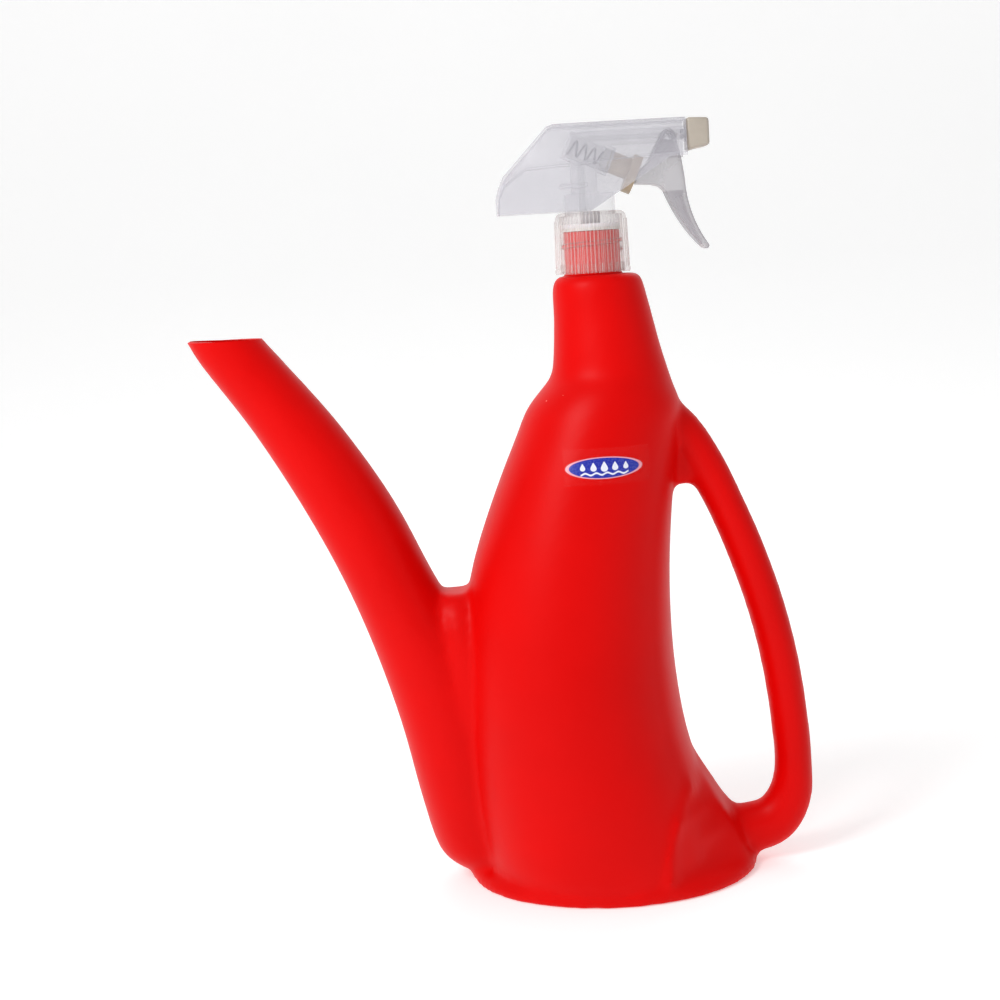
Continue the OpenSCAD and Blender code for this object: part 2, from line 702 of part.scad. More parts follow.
module shroud_solid(inset) {
    rear = shroud_width / 2;
    nose = trigger_width / 2 + arm_gap + shroud_wall;
    intersection() {
        side_slab(60) polygon(shroud_outline(inset));
        translate([shroud_back - 5, 0, 0]) rotate([90, 0, 90])
            linear_extrude(height = shroud_front - shroud_back + 10)
                polygon(shroud_front_outline(rear, inset));
        // plan, narrowing towards the nozzle
        linear_extrude(height = shroud_top_z + 10) polygon([
            [shroud_back - 5, -rear + inset], [8, -rear + inset], [shroud_front + 5, -nose + inset],
            [shroud_front + 5, nose - inset], [8, rear - inset], [shroud_back - 5, rear - inset]
        ]);
    }
}

module shroud() {
    color("whitesmoke") difference() {
        shroud_solid(0);
        shroud_solid(shroud_wall);
    }
}

module nozzle() {
    back = shroud_front + end_gap;
    front = back + nozzle_length;
    half = nozzle_width / 2;
    color("tan") difference() {
        intersection() {
            side_slab(60) polygon([
                [back, barrel_z - 7.9], [back + 5, barrel_z - 6.4],
                [front - 1, barrel_z - 5.7], [front, barrel_z - 4.7],
                [front, barrel_z + 5.5], [front - 1, barrel_z + 6.5], [back, barrel_z + 6.8]
            ]);
            translate([back - 1, 0, barrel_z]) rotate([90, 0, 90]) linear_extrude(height = nozzle_length + 2)
                polygon([[-half, -9], [-half, 4.8], [-half + 2, 9], [half - 2, 9], [half, 4.8], [half, -9]]);
        }
        on_barrel(back - 1) cylinder(r = barrel_r + run_gap, h = barrel_end - back + 2.4, $fn = 64);
        on_barrel(barrel_end) cylinder(r = 0.4, h = 20, $fn = 24);
        on_barrel(front - 1.5) cylinder(r1 = 1, r2 = 3, h = 2, $fn = 48);
    }
}

module nozzle_seal() {
    color("whitesmoke") on_barrel(0)
        ring(barrel_r, barrel_front_r + end_gap, barrel_end + 0.5, barrel_end + 1.3);
}

// ---------- nodes ----------

can_body();
color("royalblue") label();
neck_washer();
cap();
pump_body();
shroud();
valve_seat();
inlet_ball();
dip_tube();
return_spring();
piston();
piston_seal();
vent_seal();
trigger();
outlet_valve();
spinner();
nozzle();
nozzle_seal();
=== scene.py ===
import logging
import math
from dataclasses import dataclass
from enum import Enum
from typing import Callable, Sequence, Union

import bpy
from mathutils import Matrix, Vector


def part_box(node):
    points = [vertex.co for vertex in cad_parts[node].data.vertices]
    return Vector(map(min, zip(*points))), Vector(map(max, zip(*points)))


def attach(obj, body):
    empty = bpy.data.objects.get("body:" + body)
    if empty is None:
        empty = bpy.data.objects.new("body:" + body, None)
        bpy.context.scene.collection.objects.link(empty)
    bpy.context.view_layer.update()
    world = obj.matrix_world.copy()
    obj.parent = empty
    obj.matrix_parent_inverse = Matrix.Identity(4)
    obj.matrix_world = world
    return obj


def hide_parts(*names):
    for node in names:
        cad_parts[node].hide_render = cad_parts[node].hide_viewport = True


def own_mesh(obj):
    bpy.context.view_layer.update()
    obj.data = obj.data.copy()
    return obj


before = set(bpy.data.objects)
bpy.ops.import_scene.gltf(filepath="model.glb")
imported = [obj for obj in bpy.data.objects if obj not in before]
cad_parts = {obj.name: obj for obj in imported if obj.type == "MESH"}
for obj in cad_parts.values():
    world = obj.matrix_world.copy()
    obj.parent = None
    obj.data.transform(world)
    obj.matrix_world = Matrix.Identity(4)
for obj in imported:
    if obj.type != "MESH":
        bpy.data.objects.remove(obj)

LOG = logging.getLogger("watering_can")
MM = 0.001
Point = tuple[float, float]
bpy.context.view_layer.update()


# ---------------------------------------------------------------- modelling helpers


def lowest(node: str) -> Vector:
    """Lowest corner of a CAD node at rest."""
    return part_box(node)[0]


def highest(node: str) -> Vector:
    """Highest corner of a CAD node at rest."""
    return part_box(node)[1]


def deselect_everything() -> None:
    """Leaves object mode with nothing selected."""
    if bpy.context.mode != "OBJECT":
        bpy.ops.object.mode_set(mode="OBJECT")
    bpy.ops.object.select_all(action="DESELECT")


def make_active(piece: bpy.types.Object) -> None:
    """Selects one piece alone and makes it active."""
    deselect_everything()
    piece.select_set(True)
    bpy.context.view_layer.objects.active = piece


def pick_faces(piece: bpy.types.Object, wanted: Callable[[bpy.types.MeshPolygon], bool]) -> None:
    """Selects the faces that a test wants, and nothing else, and goes to edit mode.

    Args:
        piece: the mesh object.
        wanted: takes a face and says whether it is selected.
    """
    make_active(piece)
    bpy.ops.object.mode_set(mode="EDIT")
    bpy.ops.mesh.select_mode(type="FACE")
    bpy.ops.mesh.select_all(action="DESELECT")
    bpy.ops.object.mode_set(mode="OBJECT")
    for face in piece.data.polygons:
        face.select = wanted(face)
    bpy.ops.object.mode_set(mode="EDIT")


def pick_edges(piece: bpy.types.Object, wanted: Callable[[Vector, Vector], bool]) -> None:
    """Selects the edges that a test wants, by their two ends, and goes to edit mode.

    Args:
        piece: the mesh object.
        wanted: takes the places of an edge's two ends and says whether it is selected.
    """
    make_active(piece)
    bpy.ops.object.mode_set(mode="EDIT")
    bpy.ops.mesh.select_mode(type="EDGE")
    bpy.ops.mesh.select_all(action="DESELECT")
    bpy.ops.object.mode_set(mode="OBJECT")
    points = piece.data.vertices
    for edge in piece.data.edges:
        edge.select = wanted(points[edge.vertices[0]].co, points[edge.vertices[1]].co)
    bpy.ops.object.mode_set(mode="EDIT")


def add_modifier(piece: bpy.types.Object, kind: str, **settings: object) -> None:
    """Adds a modifier to a piece, sets it and applies it.

    Args:
        piece: the mesh object.
        kind: Blender's name of the modifier type.
        settings: the modifier's own settings.
    """
    make_active(piece)
    modifier = piece.modifiers.new(kind.title(), kind)
    for name, value in settings.items():
        setattr(modifier, name, value)
    bpy.ops.object.modifier_apply(modifier=modifier.name)


def round_corners(piece: bpy.types.Object, width: float, segments: int, sharper_than: float) -> None:
    """Rounds the edges that turn by more than an angle.

    Args:
        piece: the piece.
        width: width of the rounding.
        segments: facets across it.
        sharper_than: the angle, in degrees.
    """
    limit = math.radians(sharper_than)
    add_modifier(piece, "BEVEL", width=width, segments=segments, limit_method="ANGLE", angle_limit=limit)


def face_outwards(piece: bpy.types.Object) -> None:
    """Merges doubles and turns every face outwards."""
    make_active(piece)
    bpy.ops.object.mode_set(mode="EDIT")
    bpy.ops.mesh.select_all(action="SELECT")
    bpy.ops.mesh.remove_doubles(threshold=0.00001)
    bpy.ops.mesh.normals_make_consistent(inside=False)
    bpy.ops.object.mode_set(mode="OBJECT")


def join(pieces: Sequence[bpy.types.Object], name: str) -> bpy.types.Object:
    """Joins several objects into the first one.

    Args:
        pieces: the objects, of which the first takes all the others.
        name: the new name.

    Returns:
        The joined object.
    """
    deselect_everything()
    for piece in pieces:
        piece.select_set(True)
    bpy.context.view_layer.objects.active = pieces[0]
    bpy.ops.object.join()
    pieces[0].name = name
    return pieces[0]


def cut_with(piece: bpy.types.Object, cutter: bpy.types.Object) -> None:
    """Cuts a piece with another object, which is then removed.

    Args:
        piece: the piece that stays.
        cutter: the object that cuts, which is deleted.
    """
    add_modifier(piece, "BOOLEAN", operation="DIFFERENCE", object=cutter, solver="EXACT")
    bpy.data.objects.remove(cutter)


def settle(piece: bpy.types.Object, smooth_angle: float = 40.0) -> None:
    """Puts a piece's place into its mesh and shades it smooth below an angle.

    Args:
        piece: the finished mesh object.
        smooth_angle: the largest angle, in degrees, that is shaded smooth.
    """
    make_active(piece)
    bpy.ops.object.transform_apply(location=True, rotation=True, scale=True)
    bpy.ops.object.shade_smooth_by_angle(angle=math.radians(smooth_angle))


def dress(piece: bpy.types.Object, finish: bpy.types.Material) -> None:
    """Gives a piece one material all over."""
    if not piece.material_slots:
        piece.data.materials.append(finish)
    for slot in piece.material_slots:
        slot.material = finish


def place_in_frame(piece: bpy.types.Object, node: str, body: str) -> bpy.types.Object:
    """Lets a finished piece stand for a CAD node and ride on its body."""
    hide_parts(node)
    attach(piece, body)
    LOG.info("%s stands for %s on %s, %d faces", piece.name, node, body, len(piece.data.polygons))
    return piece


def spline(before: float, start: float, end: float, after: float, share: float) -> float:
    """Catmull-Rom value at a share of the way from start to end."""
    square = share * share
    cube = square * share
    return 0.5 * (
        2 * start
        + (end - before) * share
        + (2 * before - 5 * start + 4 * end - after) * square
        + (3 * start - before - 3 * end + after) * cube
    )


def smooth_rows(rows: Sequence[Sequence[float]], steps: int) -> list[tuple[float, ...]]:
    """Puts more rows of numbers between the given ones, on a smooth curve through them.

    Args:
        rows: rows of equal length.
        steps: how many steps lie between two given rows.

    Returns:
        The longer list of rows, which ends with the last given one.
    """
    last = len(rows) - 1
    longer = []
    for index in range(last):
        four = (rows[max(index - 1, 0)], rows[index], rows[index + 1], rows[min(index + 2, last)])
        for step in range(steps):
            longer.append(tuple(spline(*values, step / steps) for values in zip(*four)))
    longer.append(tuple(rows[last]))
    return longer


@dataclass(frozen=True)
class Station:
    """An oval section across a loft: its centre, its half sizes and its tilt about Y."""

    x: float
    z: float
    half_x: float
    half_y: float
    tilt: float = 0.0

    @property
    def centre(self) -> Vector:
        """Place of the section's centre."""
        return Vector((self.x, 0, self.z))


def turn_selection(angle: float, centre: Vector, axis: str = "Y") -> None:
    """Turns the selected elements about a centre, by the right-hand rule."""
    bpy.ops.transform.rotate(value=-angle, orient_axis=axis, center_override=centre)


def loft(name: str, stations: Sequence[Station], sides: int) -> bpy.types.Object:
    """Extrudes an oval from station to station, with both ends closed.

    Args:
        name: name of the new object.
        stations: the sections from one end to the other.
        sides: number of sides of the oval.

    Returns:
        The closed mesh object.
    """
    deselect_everything()
    first = stations[0]
    bpy.ops.mesh.primitive_circle_add(vertices=sides, radius=1, fill_type="NGON", location=first.centre)
    piece = bpy.context.object
    piece.name = name
    bpy.ops.object.transform_apply(location=True, rotation=True, scale=True)
    bpy.ops.object.mode_set(mode="EDIT")
    bpy.ops.mesh.select_all(action="SELECT")
    size = (first.half_x, first.half_y, 1)
    bpy.ops.transform.resize(value=size, center_override=first.centre)
    turn_selection(first.tilt, first.centre)
    for here, there in zip(stations, stations[1:]):
        step = there.centre - here.centre
        bpy.ops.mesh.extrude_region_move(TRANSFORM_OT_translate={"value": step})
        turn_selection(-here.tilt, there.centre)
        ratio = (there.half_x / here.half_x, there.half_y / here.half_y, 1)
        bpy.ops.transform.resize(value=ratio, center_override=there.centre)
        turn_selection(there.tilt, there.centre)
    bpy.ops.object.mode_set(mode="OBJECT")
    face_outwards(piece)
    return piece


def vertex_chain(name: str, rings: Sequence[Sequence[Vector]], closed: bool = True) -> bpy.types.Object:
    """Makes one object of rings of edges, each extruded point by point.

    Args:
        name: name of the new object.
        rings: each ring's points in order.
        closed: whether an edge joins each ring's two ends.

    Returns:
        The object, with its rings unfilled.
    """
    parts = []
    for ring in rings:
        deselect_everything()
        bpy.ops.mesh.primitive_plane_add(size=MM, location=ring[0])
        part = bpy.context.object
        bpy.ops.object.transform_apply(location=True, rotation=True, scale=True)
        bpy.ops.object.mode_set(mode="EDIT")
        bpy.ops.mesh.select_mode(type="VERT")
        bpy.ops.mesh.select_all(action="SELECT")
        bpy.ops.mesh.merge(type="CENTER")
        for here, there in zip(ring, ring[1:]):
            bpy.ops.mesh.extrude_vertices_move(TRANSFORM_OT_translate={"value": there - here})
        bpy.ops.object.mode_set(mode="OBJECT")
        ends = (0, len(part.data.vertices) - 1)
        for point in part.data.vertices:
            point.select = closed and point.index in ends
        bpy.ops.object.mode_set(mode="EDIT")
        if closed:
            bpy.ops.mesh.edge_face_add()
        bpy.ops.object.mode_set(mode="OBJECT")
        parts.append(part)
    return join(parts, name)


def slab(name: str, outline: Sequence[Point], half_y: float) -> bpy.types.Object:
    """Fills an outline drawn in X and Z and extrudes it to both sides of the middle plane.

    Args:
        name: name of the new object.
        outline: the outline's points in order.
        half_y: half of the width along Y.

    Returns:
        The closed mesh object.
    """
    piece = vertex_chain(name, [[Vector((x, -half_y, z)) for x, z in outline]])
    bpy.ops.object.mode_set(mode="EDIT")
    bpy.ops.mesh.select_all(action="SELECT")
    bpy.ops.mesh.edge_face_add()
    bpy.ops.mesh.extrude_region_move(TRANSFORM_OT_translate={"value": (0, 2 * half_y, 0)})
    bpy.ops.object.mode_set(mode="OBJECT")
    face_outwards(piece)
    return piece


def bridged(name: str, rings: Sequence[Sequence[Vector]]) -> bpy.types.Object:
    """Bridges level rings of points into one closed solid.

    Args:
        name: name of the new object.
        rings: level rings from the lowest to the highest, with equal counts of points.

    Returns:
        The closed mesh object.
    """
    piece = vertex_chain(name, rings)
    heights = [ring[0].z for ring in rings]
    near = 0.01 * MM

    def between(low: float, high: float) -> Callable[[Vector, Vector], bool]:
        """A test for the level edges at two heights."""
        def wanted(start: Vector, end: Vector) -> bool:
            """Says whether an edge is level and at one of the two heights."""
            level = abs(start.z - end.z) < near
            return level and (abs(start.z - low) < near or abs(start.z - high) < near)

        return wanted

    for low, high in zip(heights, heights[1:]):
        pick_edges(piece, between(low, high))
        bpy.ops.mesh.bridge_edge_loops()
    for end in (heights[0], heights[-1]):
        pick_edges(piece, between(end, end))
        bpy.ops.mesh.edge_face_add()
    bpy.ops.object.mode_set(mode="OBJECT")
    face_outwards(piece)
    return piece


def trapezium(
    root_r: float, crest_r: float, z: float, root_w: float = 2.4 * MM, crest_w: float = 1.0 * MM
) -> list[Point]:
    """Profile of a thread ridge, as radius and height."""
    return [
        (root_r, z - root_w / 2), (crest_r, z - crest_w / 2),
        (crest_r, z + crest_w / 2), (root_r, z + root_w / 2),
    ]


def screwed(
    name: str, profile: Sequence[Point], angle: float, rise: float, per_turn: int
) -> bpy.types.Object:
    """Carries a closed profile round the Z axis, as a full turn or as a helix with closed ends.

    Args:
        name: name of the new object.
        profile: the profile's points in order, each a radius and a height.
        angle: how far it turns, in degrees.
        rise: how far it climbs in a whole turn.
        per_turn: number of steps in a whole turn.

    Returns:
        The closed mesh object.
    """
    piece = vertex_chain(name, [[Vector((radius, 0, z)) for radius, z in profile]])
    steps = round(per_turn * angle / 360)
    add_modifier(
        piece, "SCREW", axis="Z", angle=math.radians(angle), screw_offset=rise * angle / 360, steps=steps,
        render_steps=steps, use_merge_vertices=rise == 0, merge_threshold=0.01 * MM,
    )
    if rise:
        make_active(piece)
        bpy.ops.object.mode_set(mode="EDIT")
        bpy.ops.mesh.select_all(action="SELECT")
        bpy.ops.mesh.fill_holes(sides=0)
        bpy.ops.object.mode_set(mode="OBJECT")
    face_outwards(piece)
    return piece


# ---------------------------------------------------------------- shader helpers


Number = Union[float, int]


class Field:
    """A shader socket that holds a number at each point, with arithmetic written as Python operators."""

    def __init__(self, shader: "Shader", socket: bpy.types.NodeSocket) -> None:
        """Keeps the shader that the socket belongs to, and the socket."""
        self.shader = shader
        self.socket = socket

    def _math(self, operation: str, *values: object) -> "Field":
        """Adds one Math node and returns its result."""
        return self.shader.node("ShaderNodeMath", {"operation": operation}, *values)

    def __add__(self, other: object) -> "Field":
        """Sum."""
        return self._math("ADD", self, other)

    __radd__ = __add__

    def __sub__(self, other: object) -> "Field":
        """Difference."""
        return self._math("SUBTRACT", self, other)

    def __rsub__(self, other: object) -> "Field":
        """Difference from another value."""
        return self._math("SUBTRACT", other, self)

    def __mul__(self, other: object) -> "Field":
        """Product."""
        return self._math("MULTIPLY", self, other)

    __rmul__ = __mul__

    def __truediv__(self, other: object) -> "Field":
        """Quotient."""
        return self._math("DIVIDE", self, other)

    def __abs__(self) -> "Field":
        """Size without its sign."""
        return self._math("ABSOLUTE", self)

    def __lt__(self, other: object) -> "Field":
        """1 where this is less than the other value."""
        return self._math("LESS_THAN", self, other)

    def __or__(self, other: object) -> "Field":
        """The greater of two values, which joins two masks."""
        return self._math("MAXIMUM", self, other)

    def __and__(self, other: object) -> "Field":
        """The smaller of two values, which crosses two masks."""
        return self._math("MINIMUM", self, other)

    def power(self, exponent: Number) -> "Field":
        """This raised to a power."""
        return self._math("POWER", self, exponent)

    def sine(self) -> "Field":
        """Sine of this, in radians."""
        return self._math("SINE", self)

    def ramp(self, start: float, end: float) -> "Field":
        """Goes smoothly from 0 at start to 1 at end."""
        settings = {"interpolation_type": "SMOOTHSTEP"}
        return self.shader.node("ShaderNodeMapRange", settings, self, start, end)


class Shader:
    """One node material with a single Principled surface."""

    def __init__(self, name: str) -> None:
        """Makes the material and its empty node tree.

        Args:
            name: name of the material.
        """
        self.material = bpy.data.materials.new(name)
        self.material.use_nodes = True
        self.tree = self.material.node_tree
        self.tree.nodes.clear()
        self.output = self.tree.nodes.new("ShaderNodeOutputMaterial")
        self.surface = self.tree.nodes.new("ShaderNodeBsdfPrincipled")
        self.tree.links.new(self.surface.outputs["BSDF"], self.output.inputs["Surface"])
        self.place = self.tree.nodes.new("ShaderNodeTexCoord").outputs["Object"]

    def node(
        self, kind: str, settings: dict[str, object], *values: object, out: Union[int, str] = 0
    ) -> Field:
        """Adds a node, sets its options first and then its sockets.

        Args:
            kind: the node's type.
            settings: the node's own options, set before its sockets.
            values: values, fields or sockets for its inputs in order; None leaves one alone.
            out: the output that is returned.

        Returns:
            The chosen output as a field.
        """
        made = self.tree.nodes.new(kind)
        for name, value in settings.items():
            setattr(made, name, value)
        for socket, value in zip(made.inputs, values):
            if isinstance(value, Field):
                self.tree.links.new(value.socket, socket)
            elif isinstance(value, bpy.types.NodeSocket):
                self.tree.links.new(value, socket)
            elif value is not None:
                socket.default_value = value
        return Field(self, made.outputs[out])

    def axes(self) -> tuple[Field, Field, Field]:
        """The three object coordinates as fields."""
        split = self.node("ShaderNodeSeparateXYZ", {}, self.place)
        outputs = split.socket.node.outputs
        return Field(self, outputs[0]), Field(self, outputs[1]), Field(self, outputs[2])

    def around(self, count: int) -> Field:
        """Narrow upright lines, evenly spaced around Z.

        Args:
            count: number of lines in a full turn.

        Returns:
            A mask, 1 along the lines.
        """
        x, y, _ = self.axes()
        turn = self.node("ShaderNodeMath", {"operation": "ARCTAN2"}, y, x)
        return (turn * float(count)).sine().ramp(0.80, 1.0)

    def noise(self, scale: float, detail: float = 3.0, roughness: float = 0.5) -> Field:
        """Noise from 0 to 1 on object coordinates."""
        return self.node("ShaderNodeTexNoise", {}, self.place, None, scale, detail, roughness)

    def specks(self, scale: float, radius: float) -> Field:
        """Mask of scattered round specks, 1 inside them.

        Args:
            scale: cells per metre.
            radius: radius of a speck as a share of a cell.

        Returns:
            The mask.
        """
        return self.node("ShaderNodeTexVoronoi", {}, self.place, None, scale) < radius

    def blend(self, mask: Field, low: Sequence[float], high: object) -> Field:
        """Mixes two colours by a mask.

        Args:
            mask: 0 gives the low colour and 1 the high one.
            low: red, green and blue.
            high: red, green and blue, or a colour field.

        Returns:
            The mixed colour.
        """
        made = self.tree.nodes.new("ShaderNodeMix")
        made.data_type = "RGBA"
        self.tree.links.new(mask.socket, made.inputs["Factor"])
        for socket, value in ((made.inputs[6], low), (made.inputs[7], high)):
            if isinstance(value, Field):
                self.tree.links.new(value.socket, socket)
            else:
                socket.default_value = (*value, 1)
        return Field(self, made.outputs[2])

    def bump(self, height: Field, distance: float, strength: float = 1.0) -> None:
        """Bumps the surface's normal by a height field.

        Args:
            height: the height, from 0 to 1.
            distance: how tall a height of 1 stands, in metres.
            strength: share of the bump that shows.
        """
        made = self.tree.nodes.new("ShaderNodeBump")
        made.inputs["Strength"].default_value = strength
        made.inputs["Distance"].default_value = distance
        self.tree.links.new(height.socket, made.inputs["Height"])
        self.tree.links.new(made.outputs["Normal"], self.surface.inputs["Normal"])

    def set(self, **values: object) -> None:
        """Sets or links the surface's sockets, named with underscores."""
        for name, value in values.items():
            socket = self.surface.inputs[name.replace("_", " ").title().replace("Ior", "IOR")]
            if isinstance(value, Field):
                self.tree.links.new(value.socket, socket)
            else:
                socket.default_value = value


# ---------------------------------------------------------------- finishes


Colour = tuple[float, float, float]


class Resin(Enum):
    """Colours of the moulded resins."""

    MILKY = (0.68, 0.67, 0.72)
    PALE = (0.86, 0.85, 0.89)
    SMOKY = (0.42, 0.40, 0.43)
    CLEAR = (0.74, 0.63, 0.60)
    BEIGE = (0.50, 0.40, 0.28)
    CREAM = (0.46, 0.41, 0.35)
    WHITE = (0.84, 0.84, 0.82)


@dataclass(frozen=True)
class BlownShellFinish:
    """Satin red polyethylene with a blown shell's faint orange peel, clouds, specks and parting line."""

    bright: Colour = (0.70, 0.0008, 0.0005)
    deep: Colour = (0.64, 0.0007, 0.0004)
    seam_half: float = 0.25 * MM

    def make(self) -> bpy.types.Material:
        """Builds the material."""
        shader = Shader("can_plastic")
        _, across, _ = shader.axes()
        clouds = shader.noise(14.0, 3.0, 0.55).ramp(0.30, 0.72)
        peel = shader.noise(420.0, 3.0, 0.5)
        fine = shader.noise(2400.0, 2.0, 0.6)
        specks = shader.specks(55.0, 0.022) & shader.noise(9.0).ramp(0.5, 0.56)
        seam = 1 - abs(across).ramp(self.seam_half, 2.4 * self.seam_half)
        colour = shader.blend(clouds, self.deep, self.bright)
        colour = shader.blend(1 - specks * 0.5, (1.0, 0.45, 0.38), colour)
        shader.set(
            base_color=colour,
            roughness=0.34 + 0.10 * clouds + 0.05 * fine,
            subsurface_weight=0.03,
            subsurface_radius=(0.012, 0.002, 0.001),
            specular_ior_level=0.08,
            ior=1.51,
        )
        shader.bump(0.55 * peel + 0.12 * fine + 0.5 * seam, 0.00010, 0.55)
        return shader.material


@dataclass(frozen=True)
class ThinResinFinish:
    """Thin polypropylene that lets the parts behind it show through, more so where it is met head on, with
    painted highlight lines along its ribs when asked.
    """

    name: str
    resin: Resin
    veil: float
    edge: float
    roughness: float = 0.24
    # number of ribs round Z that get a painted highlight: a whiter, more opaque line on each; 0 paints none
    ribs: int = 0
    flow_scale: float = 45.0

    def make(self) -> bpy.types.Material:
        """Builds the material."""
        shader = Shader(self.name)
        facing = shader.node("ShaderNodeLayerWeight", {}, 0.35, out="Facing")
        flow = shader.noise(self.flow_scale, 3.0, 0.55)
        grain = shader.noise(1500.0, 2.0, 0.6)
        red, green, blue = self.resin.value
        colour = shader.blend(flow.ramp(0.3, 0.7), (0.92 * red, 0.92 * green, 0.93 * blue), self.resin.value)
        alpha = self.veil + 0.03 * flow + (self.edge - self.veil) * facing.power(2.0)
        # painted highlight: whiter, more opaque lines along the ribs stand in for the light the ribs catch
        if self.ribs:
            lines = shader.around(self.ribs)
            colour = shader.blend(lines, colour, (0.95, 0.90, 0.88))
            alpha = alpha | 0.36 * lines
        shader.set(
            base_color=colour,
            roughness=self.roughness + 0.08 * flow + 0.04 * grain,
            alpha=alpha,
            ior=1.49,
        )
        shader.bump(0.5 * flow + 0.1 * grain, 0.00003, 0.2)
        return shader.material


@dataclass(frozen=True)
class SolidResinFinish:
    """Opaque moulded polypropylene with faint flow marks and a fine sparked surface."""

    name: str
    resin: Resin
    roughness: float = 0.34

    def make(self) -> bpy.types.Material:
        """Builds the material."""
        shader = Shader(self.name)
        flow = shader.noise(70.0, 3.0, 0.5)
        grain = shader.noise(1900.0, 3.0, 0.6)
        red, green, blue = self.resin.value
        colour = shader.blend(flow.ramp(0.3, 0.7), (0.86 * red, 0.85 * green, 0.84 * blue), self.resin.value)
        shader.set(
            base_color=colour,
            roughness=self.roughness + 0.10 * grain,
            subsurface_weight=0.15,
            subsurface_radius=(0.004, 0.003, 0.002),
            ior=1.49,
        )
        shader.bump(0.6 * grain + 0.3 * flow, 0.00006, 0.4)
        return shader.material


@dataclass(frozen=True)
class SteelFinish:
    """Drawn stainless wire and balls, with fine streaks and a little haze."""

    def make(self) -> bpy.types.Material:
        """Builds the material."""
        shader = Shader("steel")
        haze = shader.noise(180.0, 4.0, 0.6)
        bands = {"wave_type": "BANDS"}
        streaks = shader.node("ShaderNodeTexWave", bands, shader.place, 900.0, 3.0, 3.0, out=1)
        colour = shader.blend(haze.ramp(0.3, 0.7), (0.02, 0.02, 0.025), (0.06, 0.06, 0.07))
        shader.set(base_color=colour, metallic=1.0, roughness=0.30 + 0.16 * haze + 0.06 * streaks)
        shader.bump(streaks, 0.00002, 0.4)
        return shader.material


@dataclass(frozen=True)
class SealFinish:
    """Soft white elastomer, slightly chalky."""

    def make(self) -> bpy.types.Material:
        """Builds the material."""
        shader = Shader("soft_seal")
        chalk = shader.noise(260.0, 4.0, 0.6)
        colour = shader.blend(chalk.ramp(0.3, 0.7), (0.62, 0.61, 0.58), (0.80, 0.79, 0.76))
        shader.set(base_color=colour, roughness=0.55 + 0.2 * chalk)
        shader.bump(chalk, 0.00008, 0.5)
        return shader.material


@dataclass(frozen=True)
class LabelFinish:
    """Clear film with a blue oval, a pale rim and a row of drops over a wave."""

    centre_x: float
    centre_z: float
    half_w: float = 17.0 * MM
    half_h: float = 4.75 * MM
    ink: Colour = (0.018, 0.03, 0.36)
    rim: Colour = (0.80, 0.34, 0.42)
    mark: Colour = (0.78, 0.80, 0.90)

    def make(self) -> bpy.types.Material:
        """Builds the material."""
        shader = Shader("label_film")
        x, _, z = shader.axes()
        u = (x - self.centre_x) / self.half_w
        v = (z - self.centre_z) / self.half_h
        spread = u * u + v * v
        oval = 1 - spread.ramp(0.97, 1.03)
        inner = 1 - spread.ramp(0.80, 0.86)
        marks = None
        for step, size in ((-0.56, 0.8), (-0.28, 0.95), (0.0, 1.1), (0.28, 0.95), (0.56, 0.8)):
            du = (u - step) / (0.085 * size)
            dv = (v - 0.12) / (0.42 * size)
            narrow = du / (1.25 - 0.9 * dv.ramp(-1.0, 1.2))
            drop = 1 - (narrow * narrow + dv * dv).ramp(0.85, 1.1)
            marks = drop if marks is None else marks | drop
        wave = abs(v + 0.52 - 0.09 * (u * 22.0).sine())
        marks = marks | ((1 - wave.ramp(0.05, 0.11)) & (1 - abs(u).ramp(0.60, 0.64)))
        print_grain = shader.noise(1300.0, 2.0, 0.5)
        colour = shader.blend(inner, self.rim, shader.blend(marks & inner, self.ink, self.mark))
        colour = shader.blend(oval, (0.90, 0.20, 0.18), colour)
        shader.set(
            base_color=colour,
            roughness=0.22 + 0.1 * print_grain,
            alpha=0.012 + 0.968 * oval,
            ior=1.49,
        )
        return shader.material


# ---------------------------------------------------------------- the can


